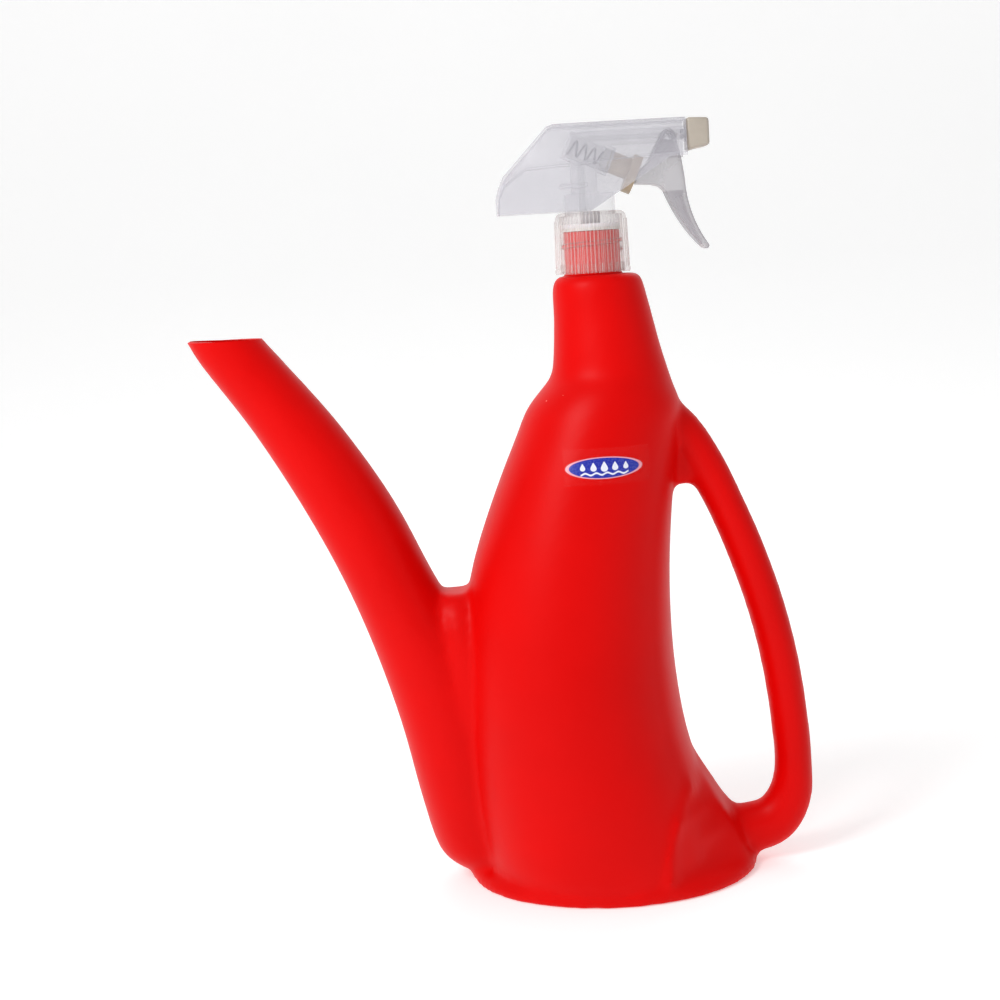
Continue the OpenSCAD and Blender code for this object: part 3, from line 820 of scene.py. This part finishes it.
@dataclass
class CanShell:
    """The one blown shell: leaning body, pouring spout, looped handle, foot and threaded neck."""

    half_length: float = 67.0 * MM
    half_depth: float = 60.0 * MM
    wall: float = 1.4 * MM
    voxel: float = 1.9 * MM
    neck_height: float = 19.5 * MM
    neck_r: float = 12.6 * MM
    bore_r: float = 10.6 * MM
    thread_r: float = 13.75 * MM
    pitch: float = 4.23 * MM
    thread_angle: float = 500.0
    mouth_height: float = 256.0 * MM
    mouth_length: float = 34.0 * MM
    mouth_width: float = 28.0 * MM
    spout_width: float = 50.0 * MM
    grip_thickness: float = 17.4 * MM
    grip_width: float = 20.0 * MM
    foot_band: float = 4.5 * MM
    recess: float = 2.5 * MM
    foot_edge: float = 6.0 * MM
    foot_x: float = -4.5 * MM

    def __post_init__(self) -> None:
        """Takes the overall places from the frame."""
        self.rim_z = highest("can_body").z
        self.height = self.rim_z - self.neck_height
        self.reach = -lowest("can_body").x
        self.grip_x = 90 * MM - self.grip_thickness / 2

    def _level(self, rows: Sequence[Sequence[float]], steps: int) -> list[Station]:
        """Stations from rows of height, left end, right end and half depth."""
        return [
            Station((left + right) / 2, z, (right - left) / 2, half)
            for z, left, right, half in smooth_rows(rows, steps)
        ]

    def body(self) -> bpy.types.Object:
        """The leaning body, from the foot to the shoulder."""
        high, half, deep, neck = self.height, self.half_length, self.half_depth, self.neck_r
        rows = [
            (share * high, left * half, right * half, depth * deep)
            for share, left, right, depth in (
                (0.011, -0.86, 0.60, 0.94), (0.030, -0.95, 0.69, 1.01), (0.075, -1.00, 0.66, 1.04),
                (0.15, -1.04, 0.58, 1.03), (0.24, -1.05, 0.48, 0.99), (0.34, -1.04, 0.425, 0.94),
                (0.44, -1.01, 0.41, 0.87), (0.54, -0.92, 0.425, 0.80), (0.65, -0.75, 0.47, 0.71),
                (0.74, -0.585, 0.52, 0.63), (0.785, -0.50, 0.54, 0.58), (0.815, -0.40, 0.50, 0.52),
            )
        ]
        rows += [
            (share * high, -(neck + left * MM), neck + right * MM, neck + depth * MM)
            for share, left, right, depth in (
                (0.84, 8.8, 19.0, 14.0), (0.88, 7.2, 16.0, 12.0), (0.93, 6.3, 13.0, 9.8),
                (0.975, 6.3, 10.2, 8.4), (0.992, 5.4, 9.0, 7.4), (1.0, 2.8, 6.4, 4.8),
            )
        ]
        return loft("body", self._level(rows, 3), 64)

    def spout(self) -> bpy.types.Object:
        """The leaning spout, run on past its mouth, where it is cut level later."""
        high, half, reach = self.height, self.half_length, self.reach
        mouth, wide, length = self.mouth_height, self.spout_width, self.mouth_length
        rows = [
            (0.02 * high, -1.14 * half, -0.67 * half, 0.28 * wide),
            (0.055 * high, -1.28 * half, -0.67 * half, 0.42 * wide),
            (0.145 * high, -1.38 * half, -0.72 * half, 0.49 * wide),
            (0.27 * high, -0.538 * reach, -0.8 * half, 0.5 * wide),
            (0.43 * mouth, -0.592 * reach, -0.346 * reach, 0.475 * wide),
            (0.566 * mouth, -0.661 * reach, -0.437 * reach, 0.43 * wide),
            (0.703 * mouth, -0.751 * reach, -0.524 * reach, 0.385 * wide),
            (0.84 * mouth, -0.858 * reach, -0.642 * reach, 0.62 * self.mouth_width),
            (0.957 * mouth, -0.968 * reach, 3 * MM - 0.968 * reach + length, 0.54 * self.mouth_width),
            (mouth, -reach, -reach + length, 0.5 * self.mouth_width),
            (mouth + 11 * MM, -reach - 6 * MM, -reach + length - 8 * MM, 0.46 * self.mouth_width),
        ]
        return loft("spout", self._level(rows, 4), 48)

    def handle(self) -> bpy.types.Object:
        """The looped handle, swept from its root in the foot up to the shoulder."""
        high, half, grip, thick = self.height, self.half_length, self.grip_x, self.grip_thickness
        rows = [
            (0.54 * grip, 0.055 * high, 0.62 * thick), (0.74 * grip, 0.055 * high, 0.68 * thick),
            (0.88 * grip, 0.067 * high, 0.66 * thick), (0.973 * grip, 0.107 * high, 0.59 * thick),
            (grip, 0.16 * high, 0.505 * thick), (0.988 * grip, 0.24 * high, 0.5 * thick),
            (0.948 * grip, 0.34 * high, 0.5 * thick), (0.877 * grip, 0.438 * high, 0.5 * thick),
            (0.775 * grip, 0.535 * high, 0.5 * thick), (0.665 * grip, 0.618 * high, 0.495 * thick),
            (0.565 * grip, 0.68 * high, 0.53 * thick), (0.44 * grip, 0.74 * high, 0.53 * thick),
            (0.33 * half, 0.785 * high, 0.52 * thick),
        ]
        path = smooth_rows(rows, 4)
        stations = []
        for index, (x, z, half_t) in enumerate(path):
            before, after = path[max(index - 1, 0)], path[min(index + 1, len(path) - 1)]
            tilt = math.atan2(after[0] - before[0], after[1] - before[1])
            stations.append(Station(x, z, half_t, self.grip_width / 2, tilt))
        return loft("handle", stations, 24)

    def foot(self) -> bpy.types.Object:
        """The foot band under the body."""
        rows = (
            (0.0, 0.6), (0.8, 0.1), (1.6, 0.0), (self.foot_band / MM, 0.5), (7.5, 4.0),
        )
        stations = [
            Station(self.foot_x, z * MM, self.half_length - inset * MM, self.half_depth - inset * MM)
            for z, inset in rows
        ]
        return loft("foot", stations, 96)

    def facet(self) -> bpy.types.Object:
        """The flat-faced wedge that carries the foot out to the handle's root."""
        corners = (
            (3.4, (15.5, 55.5), (52.5, 20.0), 57.5), (9.0, (16.5, 58.0), (55.0, 20.0), 59.5),
            (22.0, (18.0, 55.5), (50.5, 17.0), 56.5), (34.0, (22.5, 50.5), (44.0, 16.5), 47.5),
            (45.0, (29.0, 38.5), (38.0, 15.0), 41.0), (51.0, (30.5, 27.0), (34.5, 13.0), 37.5),
            (59.0, (28.5, 16.0), (31.0, 12.0), 33.0),
        )
        rings = []
        for z, (ax, ay), (bx, by), root in corners:
            points = ((0.0, -12.0), (ax, -ay), (bx, -by), (root, 0.0), (bx, by), (ax, ay), (0.0, 12.0))
            rings.append([Vector((x, y, z)) * MM for x, y in points])
        return bridged("facet", rings)

    def crotches(self) -> list[bpy.types.Object]:
        """The rounded webs where the spout and the handle leave the body."""
        half, low, high = self.half_length, 0.495 * self.height, 0.648 * self.height
        spout_rows = [
            (low - 60 * MM, -1.20 * half, -0.80 * half, 25 * MM),
            (low - 26 * MM, -1.22 * half, -0.82 * half, 24 * MM),
            (low - 8 * MM, -1.25 * half, -0.84 * half, 19 * MM),
            (low - 1 * MM, -1.24 * half, -0.85 * half, 12 * MM),
        ]
        handle_rows = [
            (high, 0.46 * half, 0.62 * half, 5.5 * MM),
            (high + 6 * MM, 0.4 * half, 0.6 * half, 7.5 * MM),
            (high + 18 * MM, 0.3 * half, 0.52 * half, 8 * MM),
        ]
        return [
            loft("spout_crotch", self._level(spout_rows, 2), 24),
            loft("handle_crotch", self._level(handle_rows, 2), 24),
        ]

    def neck(self) -> list[bpy.types.Object]:
        """The neck tube and its helical thread ridge."""
        low, high, lip = self.height - 2.5 * MM, self.rim_z, 0.35 * MM
        profile = [
            (self.bore_r, low), (self.neck_r + 3.4 * MM, low), (self.neck_r + 0.5 * MM, low + 2.8 * MM),
            (self.neck_r, low + 3.6 * MM), (self.neck_r, high - lip), (self.neck_r - lip, high),
            (self.bore_r + lip, high), (self.bore_r, high - lip),
        ]
        start = self.rim_z - 2.9 * MM - self.pitch * self.thread_angle / 360
        section = trapezium(self.neck_r - 0.4 * MM, self.thread_r, start)
        ridge = screwed("ridge", section, self.thread_angle, self.pitch, 24)
        return [screwed("neck", profile, 360, 0, 96), ridge]

    def build(self) -> bpy.types.Object:
        """Fuses the lofts, softens their creases, opens mouth and neck, and gives the shell its wall."""
        solids = [self.body(), self.spout(), self.handle(), self.foot(), self.facet(), *self.crotches()]
        shell = join(solids, "can_shell")
        add_modifier(shell, "REMESH", mode="VOXEL", voxel_size=self.voxel)
        add_modifier(shell, "SMOOTH", factor=0.5, iterations=10)
        hollow = loft("recess", [
            Station(self.foot_x, z, self.half_length - edge, self.half_depth - edge)
            for z, edge in ((-1 * MM, self.foot_edge), (self.recess, self.foot_edge + 3 * MM))
        ], 96)
        cut_with(shell, hollow)
        pick_faces(shell, lambda face: face.center.x < -0.12 and face.center.z > self.mouth_height - 12 * MM)
        level = (0, 0, self.mouth_height)
        bpy.ops.mesh.bisect(plane_co=level, plane_no=(0, 0, 1), clear_outer=True)
        near = self.bore_r + 0.4 * MM
        top = self.height - 2 * MM
        pick_faces(shell, lambda face: face.center.z > top and face.center.xy.length < near)
        bpy.ops.mesh.delete(type="FACE")
        bpy.ops.object.mode_set(mode="OBJECT")
        add_modifier(shell, "SOLIDIFY", thickness=self.wall, offset=-1.0)
        shell = join([shell, *self.neck()], "can_shell")
        settle(shell, 60)
        return shell


@dataclass
class LabelFilm:
    """The clear film on the front of the body."""

    thickness: float = 0.12 * MM
    lift: float = 0.12 * MM
    columns: int = 76
    rows: int = 32

    def build(self, shell: bpy.types.Object) -> bpy.types.Object:
        """Lays a patch of film on the shell.

        Args:
            shell: the can's finished shell.

        Returns:
            The film.
        """
        low, high = lowest("label"), highest("label")
        centre = (low + high) / 2
        deselect_everything()
        bpy.ops.mesh.primitive_grid_add(
            x_subdivisions=self.columns, y_subdivisions=self.rows, size=1,
            location=(centre.x, low.y - 20 * MM, centre.z),
        )
        film = bpy.context.object
        film.name = "label_film"
        bpy.ops.object.mode_set(mode="EDIT")
        bpy.ops.mesh.select_all(action="SELECT")
        middle = film.location.copy()
        bpy.ops.transform.resize(value=(high.x - low.x, high.z - low.z, 1), center_override=middle)
        turn_selection(math.radians(90), middle, "X")
        bpy.ops.object.mode_set(mode="OBJECT")
        make_active(film)
        bpy.ops.object.transform_apply(location=True, rotation=True, scale=True)
        add_modifier(
            film, "SHRINKWRAP", target=shell, wrap_method="PROJECT", use_project_x=False, use_project_y=True,
            use_project_z=False, use_positive_direction=True, use_negative_direction=True, offset=self.lift,
            wrap_mode="OUTSIDE_SURFACE",
        )
        add_modifier(film, "SMOOTH", factor=0.5, iterations=3)
        pick_faces(film, lambda face: True)
        if film.data.polygons[0].normal.y > 0:
            bpy.ops.mesh.flip_normals()
        bpy.ops.object.mode_set(mode="OBJECT")
        add_modifier(film, "SOLIDIFY", thickness=self.thickness, offset=1.0)
        settle(film, 60)
        return film


@dataclass
class Can:
    """The can with its film."""

    def build(self) -> None:
        """Builds and dresses both pieces."""
        shell = CanShell().build()
        film = LabelFilm().build(shell)
        dress(shell, BlownShellFinish().make())
        middle = (lowest("label") + highest("label")) / 2
        off_x, off_z = -1.3 * MM, -0.6 * MM
        dress(film, LabelFinish(middle.x + off_x, middle.z + off_z).make())
        place_in_frame(shell, "can_body", "can")
        place_in_frame(film, "label", "can")


# ---------------------------------------------------------------- the closure


@dataclass
class Cap:
    """The ribbed screw cap."""

    sides: int = 168
    wall: float = 1.7 * MM
    rib: float = 0.32 * MM
    thread_r: float = 13.3 * MM
    pitch: float = 4.23 * MM
    catches: int = 24
    hole_r: float = 11.45 * MM
    inner_r: float = 14.2 * MM

    def build(self) -> bpy.types.Object:
        """Turns the cap, raises its ribs and adds its inner thread and catches."""
        low, high = lowest("cap"), highest("cap")
        base, top, radius = low.z, high.z, high.x
        hole, inner = self.hole_r, self.inner_r
        profile = [
            (inner, base), (radius - 0.5 * MM, base), (radius - 0.1 * MM, base + 0.5 * MM),
            (radius - 0.1 * MM, base + 1.9 * MM), (radius - 0.6 * MM, base + 2.5 * MM),
            (radius - 1.0 * MM, top - 3.6 * MM), (radius - 1.25 * MM, top - 2.2 * MM),
            (radius - 1.9 * MM, top - 0.9 * MM), (radius - 2.9 * MM, top - 0.25 * MM),
            (radius - 4.0 * MM, top), (hole, top), (hole, top - 1.5 * MM), (inner, top - 1.5 * MM),
        ]
        cap = screwed("cap_shell", profile, 360, 0, self.sides)
        step = 2 * math.pi / self.sides

        def rib_face(face: bpy.types.MeshPolygon) -> bool:
            """Says whether a face of the ribbed band is raised: every third one is."""
            spot = face.center
            turn = int(math.atan2(spot.y, spot.x) / step + self.sides)
            outside = math.hypot(spot.x, spot.y) > 15.5 * MM and abs(face.normal.z) < 0.3
            return outside and base + 4 * MM < spot.z < top - 4 * MM and turn % 3 == 0

        pick_faces(cap, rib_face)
        bpy.ops.mesh.inset(thickness=0.06 * MM, depth=self.rib, use_individual=True)
        bpy.ops.object.mode_set(mode="OBJECT")
        crest = self.thread_r - 0.2 * MM
        section = trapezium(inner + 0.3 * MM, crest, base + 10.2 * MM, 1.7 * MM, 0.7 * MM)
        ridge = screwed("cap_thread", section, 360, self.pitch, 24)
        face_outwards(ridge)
        cap = join([cap, ridge, *self._catches(base, inner)], "cap_shell")
        settle(cap, 35)
        return cap

    def _catches(self, base: float, inner: float) -> list[bpy.types.Object]:
        """The little hooked catches inside the lower edge, one modelled and the others copied."""
        tip, back, stem = inner - 0.9 * MM, inner + 0.4 * MM, inner - 0.2 * MM
        low, step, high = base + 0.5 * MM, base + 1.3 * MM, base + 4.2 * MM
        outline = [(tip, low), (back, low), (back, high), (stem, high), (stem, step), (tip, step)]
        hook = slab("catch", outline, 0.5 * MM)
        hooks = [hook]
        for index in range(1, self.catches):
            make_active(hook)
            bpy.ops.object.duplicate()
            copy = bpy.context.object
            bpy.ops.transform.rotate(
                value=-2 * math.pi * index / self.catches, orient_axis="Z", center_override=(0, 0, 0)
            )
            bpy.ops.object.transform_apply(location=True, rotation=True, scale=True)
            hooks.append(copy)
        return hooks


# ---------------------------------------------------------------- the sprayer


@dataclass
class Shroud:
    """The milky hood over the pump, open below, in front and along its diagonal."""

    wall: float = 1.2 * MM
    crease_z: float = 326.0 * MM
    corner_x: float = 36.5 * MM
    corner_z: float = 326.1 * MM

    def _section(self, x: float, top: float, half: float, ridge: float) -> list[Vector]:
        """One cross-section: two upright skirts, two sloping sides and a flat top."""
        low = lowest("shroud").z
        crease = min(self.crease_z + 0.045 * x, top - 3.6 * MM)
        right = [
            (half, low), (half, crease), (half - 0.55 * MM, crease + 0.7 * MM),
            (ridge + 0.9 * MM, top - 1.1 * MM), (ridge, top),
        ]
        points = [(-y, z) for y, z in right] + [(y, z) for y, z in reversed(right)]
        return [Vector((x, y, z)) for y, z in points]

    def build(self) -> bpy.types.Object:
        """Bridges the cross-sections, cuts the diagonal mouth and gives the hood its wall."""
        low, high = lowest("shroud"), highest("shroud")
        back, front, top = low.x, high.x, high.z
        stations = (
            (back, top - 31.0 * MM, 12.4, 9.6), (back + 1.2 * MM, top - 27.0 * MM, 13.0, 9.8),
            (back + 3.6 * MM, top - 22.0 * MM, 13.0, 9.6), (back + 14.0 * MM, top - 11.2 * MM, 13.0, 8.9),
            (back + 24.0 * MM, top - 0.9 * MM, 13.0, 8.4), (back + 27.0 * MM, top, 13.0, 8.4),
            (back + 50.0 * MM, top, 13.0, 8.4), (front, top, 10.0, 6.6),
        )
        sections = [self._section(x, z, half * MM, ridge * MM) for x, z, half, ridge in stations]
        hood = vertex_chain("shroud_hood", sections, closed=False)
        near = 0.05 * MM
        for here, there in zip(stations, stations[1:]):
            pick_edges(hood, lambda a, b, x=(here[0], there[0]): any(
                abs(a.x - v) < near and abs(b.x - v) < near for v in x
            ))
            bpy.ops.mesh.bridge_edge_loops()
        pick_edges(hood, lambda a, b: abs(a.x - back) < near and abs(b.x - back) < near)
        bpy.ops.mesh.edge_face_add()
        bpy.ops.object.mode_set(mode="OBJECT")
        face_outwards(hood)
        corner = Vector((self.corner_x, 0, self.corner_z))
        slope = Vector((18.4, 0, -30.5)).normalized()
        for place, normal in ((corner, slope), (corner, Vector((0, 0, -1)))):
            pick_faces(hood, lambda face: True)
            bpy.ops.mesh.bisect(plane_co=place, plane_no=normal)
        pick_faces(hood, lambda face: (face.center - corner).dot(slope) > 0 and face.center.z < corner.z)
        bpy.ops.mesh.delete(type="FACE")
        bpy.ops.object.mode_set(mode="OBJECT")
        round_corners(hood, 0.7 * MM, 3, 24)
        face_outwards(hood)
        add_modifier(hood, "SOLIDIFY", thickness=self.wall, offset=-1.0, use_even_offset=True)
        settle(hood, 35)
        return hood


@dataclass
class Trigger:
    """The pulled lever: two arms, a pressing pad and a hollow curved blade."""

    pivot: Vector
    drop: float = 50.4 * MM
    pad_r: float = 10.3 * MM
    eye_r: float = 3.3 * MM
    slot: float = 3.8 * MM
    pin_hole_r: float = 1.7 * MM
    front_wall: float = 1.8 * MM
    side_wall: float = 1.6 * MM

    def _curve(self, ends: Sequence[Point], shares: Sequence[float]) -> list[Point]:
        """Points on a curve with one control point between two ends."""
        start, control, end = (Vector(place) for place in ends)
        return [
            tuple((1 - t) ** 2 * start + 2 * t * (1 - t) * control + t * t * end) for t in shares
        ]

    def _arc(self, x: float, z: float, radius: float, angles: Sequence[int]) -> list[Point]:
        """Points on a circle at angles in degrees."""
        return [
            (x + radius * math.cos(math.radians(a)), z + radius * math.sin(math.radians(a))) for a in angles
        ]

    def _front(self) -> list[Point]:
        """Front edge of the blade, from the arms to the tip, in millimetres."""
        pz = self.pivot.z / MM
        tip = pz - self.drop / MM + 1.6
        return [(40.6, pz - 6), (41.4, pz - 10), (42.4, pz - 17.5)] + self._curve(
            ((42.6, pz - 20), (43.4, 0.45 * (pz - 20) + 0.55 * tip), (52.2, tip)), [k / 10 for k in range(11)]
        )

    def build(self) -> bpy.types.Object:
        """Builds the lever from its side outline and hollows it."""
        px, pz = self.pivot.x / MM, self.pivot.z / MM
        pad_x, pad_z, pad_r = px - 5.2, pz - 20.7, self.pad_r / MM
        tip = pz - self.drop / MM
        outline = self._arc(pad_x, pad_z, pad_r, range(176, 115, -10))
        outline += self._arc(px, pz, self.eye_r / MM, range(150, -1, -15))
        outline += self._front()
        outline += [(52.2, tip + 0.5), (51.2, tip), (50.0, tip + 0.5)]
        outline += self._curve(
            ((49.6, tip + 0.8), (39.5, 0.6 * (tip + 0.8) + 0.4 * (pz - 24)), (33.4, pz - 23.5)),
            [0.1 + 0.15 * k for k in range(7)],
        )
        outline += [(31.5, pz - 21.6), (28.0, pz - 20.6)]
        half = highest("trigger").y
        lever = slab("trigger_lever", [(x * MM, z * MM) for x, z in outline], half)
        round_corners(lever, 0.9 * MM, 3, 60)
        cut_with(lever, slab("arm_slot", [
            ((pad_x - 12) * MM, (pz - 7) * MM), ((pad_x + 18) * MM, (pz - 7) * MM),
            ((pad_x + 18) * MM, (pz + 13) * MM), ((pad_x - 12) * MM, (pz + 13) * MM),
        ], self.slot))
        hollow = [(x - self.front_wall / MM, z) for x, z in self._front() if pz - 25 > z > tip + 2]
        top, bottom, open_side = pz - 24, tip + 2, 22.0
        hollow = [
            (hollow[0][0] + 0.2, top), *hollow, (hollow[-1][0] + 0.4, bottom),
            (open_side, bottom), (open_side, top),
        ]
        cut_with(lever, slab("blade_hollow", [(x * MM, z * MM) for x, z in hollow], half - self.side_wall))
        cut_with(lever, self._pin_hole(half))
        settle(lever, 35)
        return lever

    def _pin_hole(self, half: float) -> bpy.types.Object:
        """The hole for the pivot pins."""
        deselect_everything()
        bpy.ops.mesh.primitive_cylinder_add(
            vertices=48, radius=self.pin_hole_r, depth=3 * half,
            location=self.pivot, rotation=(math.pi / 2, 0, 0),
        )
        return bpy.context.object


@dataclass
class Nozzle:
    """The turning nozzle: a soft-cornered block with a round socket behind and a flared orifice in front."""

    axis_z: float = 336.0 * MM
    socket_r: float = 3.65 * MM
    orifice_r: float = 0.45 * MM
    flare_r: float = 3.0 * MM

    def build(self) -> bpy.types.Object:
        """Builds the block and bores it."""
        low, high = lowest("nozzle"), highest("nozzle")
        back, front, half = low.x, high.x, high.y
        axis_z = self.axis_z
        block = slab("nozzle_block", [
            (back, axis_z - 7.9 * MM), (back + 4 * MM, axis_z - 6.8 * MM), (front, axis_z - 5.9 * MM),
            (front, axis_z + 6.3 * MM), (back, axis_z + 6.8 * MM),
        ], half)
        round_corners(block, 1.5 * MM, 5, 40)
        for first, last, start, end in (
            (self.socket_r, self.socket_r, back - 1 * MM, back + 4 * MM),
            (self.orifice_r, self.orifice_r, back, front + 1 * MM),
            (0.8 * MM, self.flare_r, front - 1.6 * MM, front + 0.1 * MM),
        ):
            deselect_everything()
            bpy.ops.mesh.primitive_cone_add(
                vertices=48, radius1=first, radius2=last, depth=end - start,
                location=((start + end) / 2, 0, axis_z), rotation=(0, math.pi / 2, 0),
            )
            cut_with(block, bpy.context.object)
        settle(block, 40)
        return block


@dataclass
class ReturnSpring:
    """The coil spring that pushes the piston out, wound on the pump's axis."""

    origin: Vector
    lean: float = math.radians(24.0)
    wire_r: float = 0.5 * MM
    coil_r: float = 3.15 * MM
    start: float = -8.25 * MM
    end: float = 13.45 * MM
    turns: float = 5.0

    def build(self) -> bpy.types.Object:
        """Winds the wire about +Z and lays it on the pump's axis."""
        angles = [k * math.pi / 4 for k in range(8)]
        wire = [
            (self.coil_r + self.wire_r * math.cos(a), self.start + self.wire_r * math.sin(a)) for a in angles
        ]
        pitch = (self.end - self.start) / self.turns
        spring = screwed("spring_coil", wire, 360 * self.turns, pitch, 36)
        pick_faces(spring, lambda face: True)
        turn_selection(math.pi / 2 + self.lean, Vector((0, 0, 0)))
        bpy.ops.transform.translate(value=self.origin)
        bpy.ops.object.mode_set(mode="OBJECT")
        settle(spring, 60)
        return spring

    @property
    def axis(self) -> Vector:
        """Direction of the pump's axis, towards the trigger."""
        return Vector((math.cos(self.lean), 0, -math.sin(self.lean)))


@dataclass
class Sprayer:
    """The trigger sprayer: closure, pump, lever, hood and nozzle."""

    stroke: float = 7.4 * MM

    def build(self) -> None:
        """Builds and dresses the new pieces, and dresses the pieces that stay as they are."""
        rim = highest("can_body").z
        cap = Cap().build()
        # the cap's 56 ribs get painted highlight lines, whiter and more opaque
        dress(cap, ThinResinFinish("clear_plastic", Resin.CLEAR, 0.09, 0.75, 0.20, ribs=56).make())
        place_in_frame(cap, "cap", "cap")
        hood = Shroud().build()
        dress(hood, ThinResinFinish("shroud_plastic", Resin.MILKY, 0.27, 0.90, 0.18).make())
        place_in_frame(hood, "shroud", "pump")
        lever = Trigger(Vector((36 * MM, 0, rim + 39.5 * MM))).build()
        dress(lever, ThinResinFinish("trigger_plastic", Resin.SMOKY, 0.42, 0.85, 0.26).make())
        place_in_frame(lever, "trigger", "trigger")
        nozzle = Nozzle().build()
        dress(nozzle, SolidResinFinish("nozzle_plastic", Resin.CREAM).make())
        place_in_frame(nozzle, "nozzle", "nozzle")
        coil = ReturnSpring(Vector((0, 0, rim + 34.5 * MM)))
        spring = coil.build()
        steel = SteelFinish().make()
        dress(spring, steel)
        place_in_frame(spring, "return_spring", "piston")
        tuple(coil.axis)
        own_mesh(spring)
        milky = ThinResinFinish("milky_plastic", Resin.PALE, 0.15, 0.55, 0.28).make()
        beige = SolidResinFinish("beige_plastic", Resin.BEIGE).make()
        opaque = SolidResinFinish("opaque_plastic", Resin.PALE).make()
        seal = SealFinish().make()
        pipe = ThinResinFinish("tube_plastic", Resin.WHITE, 0.5, 0.85, 0.35).make()
        for finish, nodes in (
            (milky, ("pump_body", "spinner")),
            (opaque, ("valve_seat",)),
            (beige, ("piston",)),
            (seal, ("neck_washer", "piston_seal", "vent_seal", "outlet_valve", "nozzle_seal")),
            (pipe, ("dip_tube",)),
            (steel, ("inlet_ball",)),
        ):
            for node in nodes:
                dress(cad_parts[node], finish)
                LOG.info("%s keeps its shape and takes %s", node, finish.name)


# ---------------------------------------------------------------- the studio


@dataclass
class Studio:
    """White sweep, soft lights and the camera."""

    eye: Vector
    pitch: float = 7.3
    roll: float = 3.4
    lens: float = 67.4

    def _sweep(self) -> bpy.types.Object:
        """The floor and the wall behind it, with a wide round corner."""
        deselect_everything()
        bpy.ops.mesh.primitive_plane_add(size=8, location=(0, -1.4, 0))
        sweep = bpy.context.object
        sweep.name = "sweep"
        bpy.ops.object.transform_apply(location=True, rotation=True, scale=True)
        pick_edges(sweep, lambda start, end: start.y > 2 and end.y > 2)
        bpy.ops.mesh.extrude_region_move(TRANSFORM_OT_translate={"value": (0, 0, 4)})
        bpy.ops.object.mode_set(mode="OBJECT")
        round_corners(sweep, 1.2, 24, 40)
        settle(sweep, 60)
        return sweep

    def _light(self, name: str, place: Sequence[float], target: Vector, size: float, power: float) -> None:
        """Adds one soft area light that faces a target."""
        deselect_everything()
        bpy.ops.object.light_add(type="AREA", location=place)
        lamp = bpy.context.object
        lamp.name = name
        lamp.data.size = size
        lamp.data.energy = power
        lamp.rotation_euler = (target - Vector(place)).to_track_quat("-Z", "Y").to_euler()

    def build(self) -> None:
        """Sets up floor, world, lights and camera."""
        sweep = self._sweep()
        paint = Shader("sweep_paint")
        mottle = paint.noise(3.0, 2.0, 0.5)
        paint.set(
            base_color=paint.blend(mottle, (0.88, 0.88, 0.88), (0.90, 0.90, 0.90)),
            roughness=0.7 + 0.1 * mottle,
            emission_color=(1.0, 1.0, 1.0, 1.0),
            emission_strength=0.34,
        )
        dress(sweep, paint.material)
        world = bpy.data.worlds.new("studio")
        bpy.context.scene.world = world
        world.use_nodes = True
        backdrop = world.node_tree.nodes["Background"]
        backdrop.inputs["Color"].default_value = (1.0, 1.0, 1.0, 1.0)
        backdrop.inputs["Strength"].default_value = 0.48
        centre = Vector((-0.04, 0, 0.17))
        self._light("key", (-0.9, -0.9, 1.1), centre, 0.6, 15.0)
        self._light("fill", (1.1, -0.9, 0.7), centre, 1.2, 0.8)
        self._light("back", (0.0, 1.2, 1.3), centre, 1.4, 3.5)
        deselect_everything()
        bpy.ops.object.camera_add()
        camera = bpy.context.object
        camera.data.sensor_width = 36.0
        camera.data.lens = self.lens
        pitched = Matrix.Rotation(math.radians(90 - self.pitch), 4, "X")
        rolled = Matrix.Rotation(math.radians(-self.roll), 4, "Z")
        camera.matrix_world = Matrix.Translation(self.eye) @ (pitched @ rolled)
        bpy.context.scene.camera = camera
        bpy.context.scene.view_settings.view_transform = "Standard"


def main() -> None:
    """Builds the studio and the two sub-assemblies."""
    logging.basicConfig(level=logging.INFO, format="%(name)s: %(message)s")
    Studio(Vector((-0.048, -0.850, 0.285))).build()
    Can().build()
    Sprayer().build()


if __name__ == "__main__":
    main()
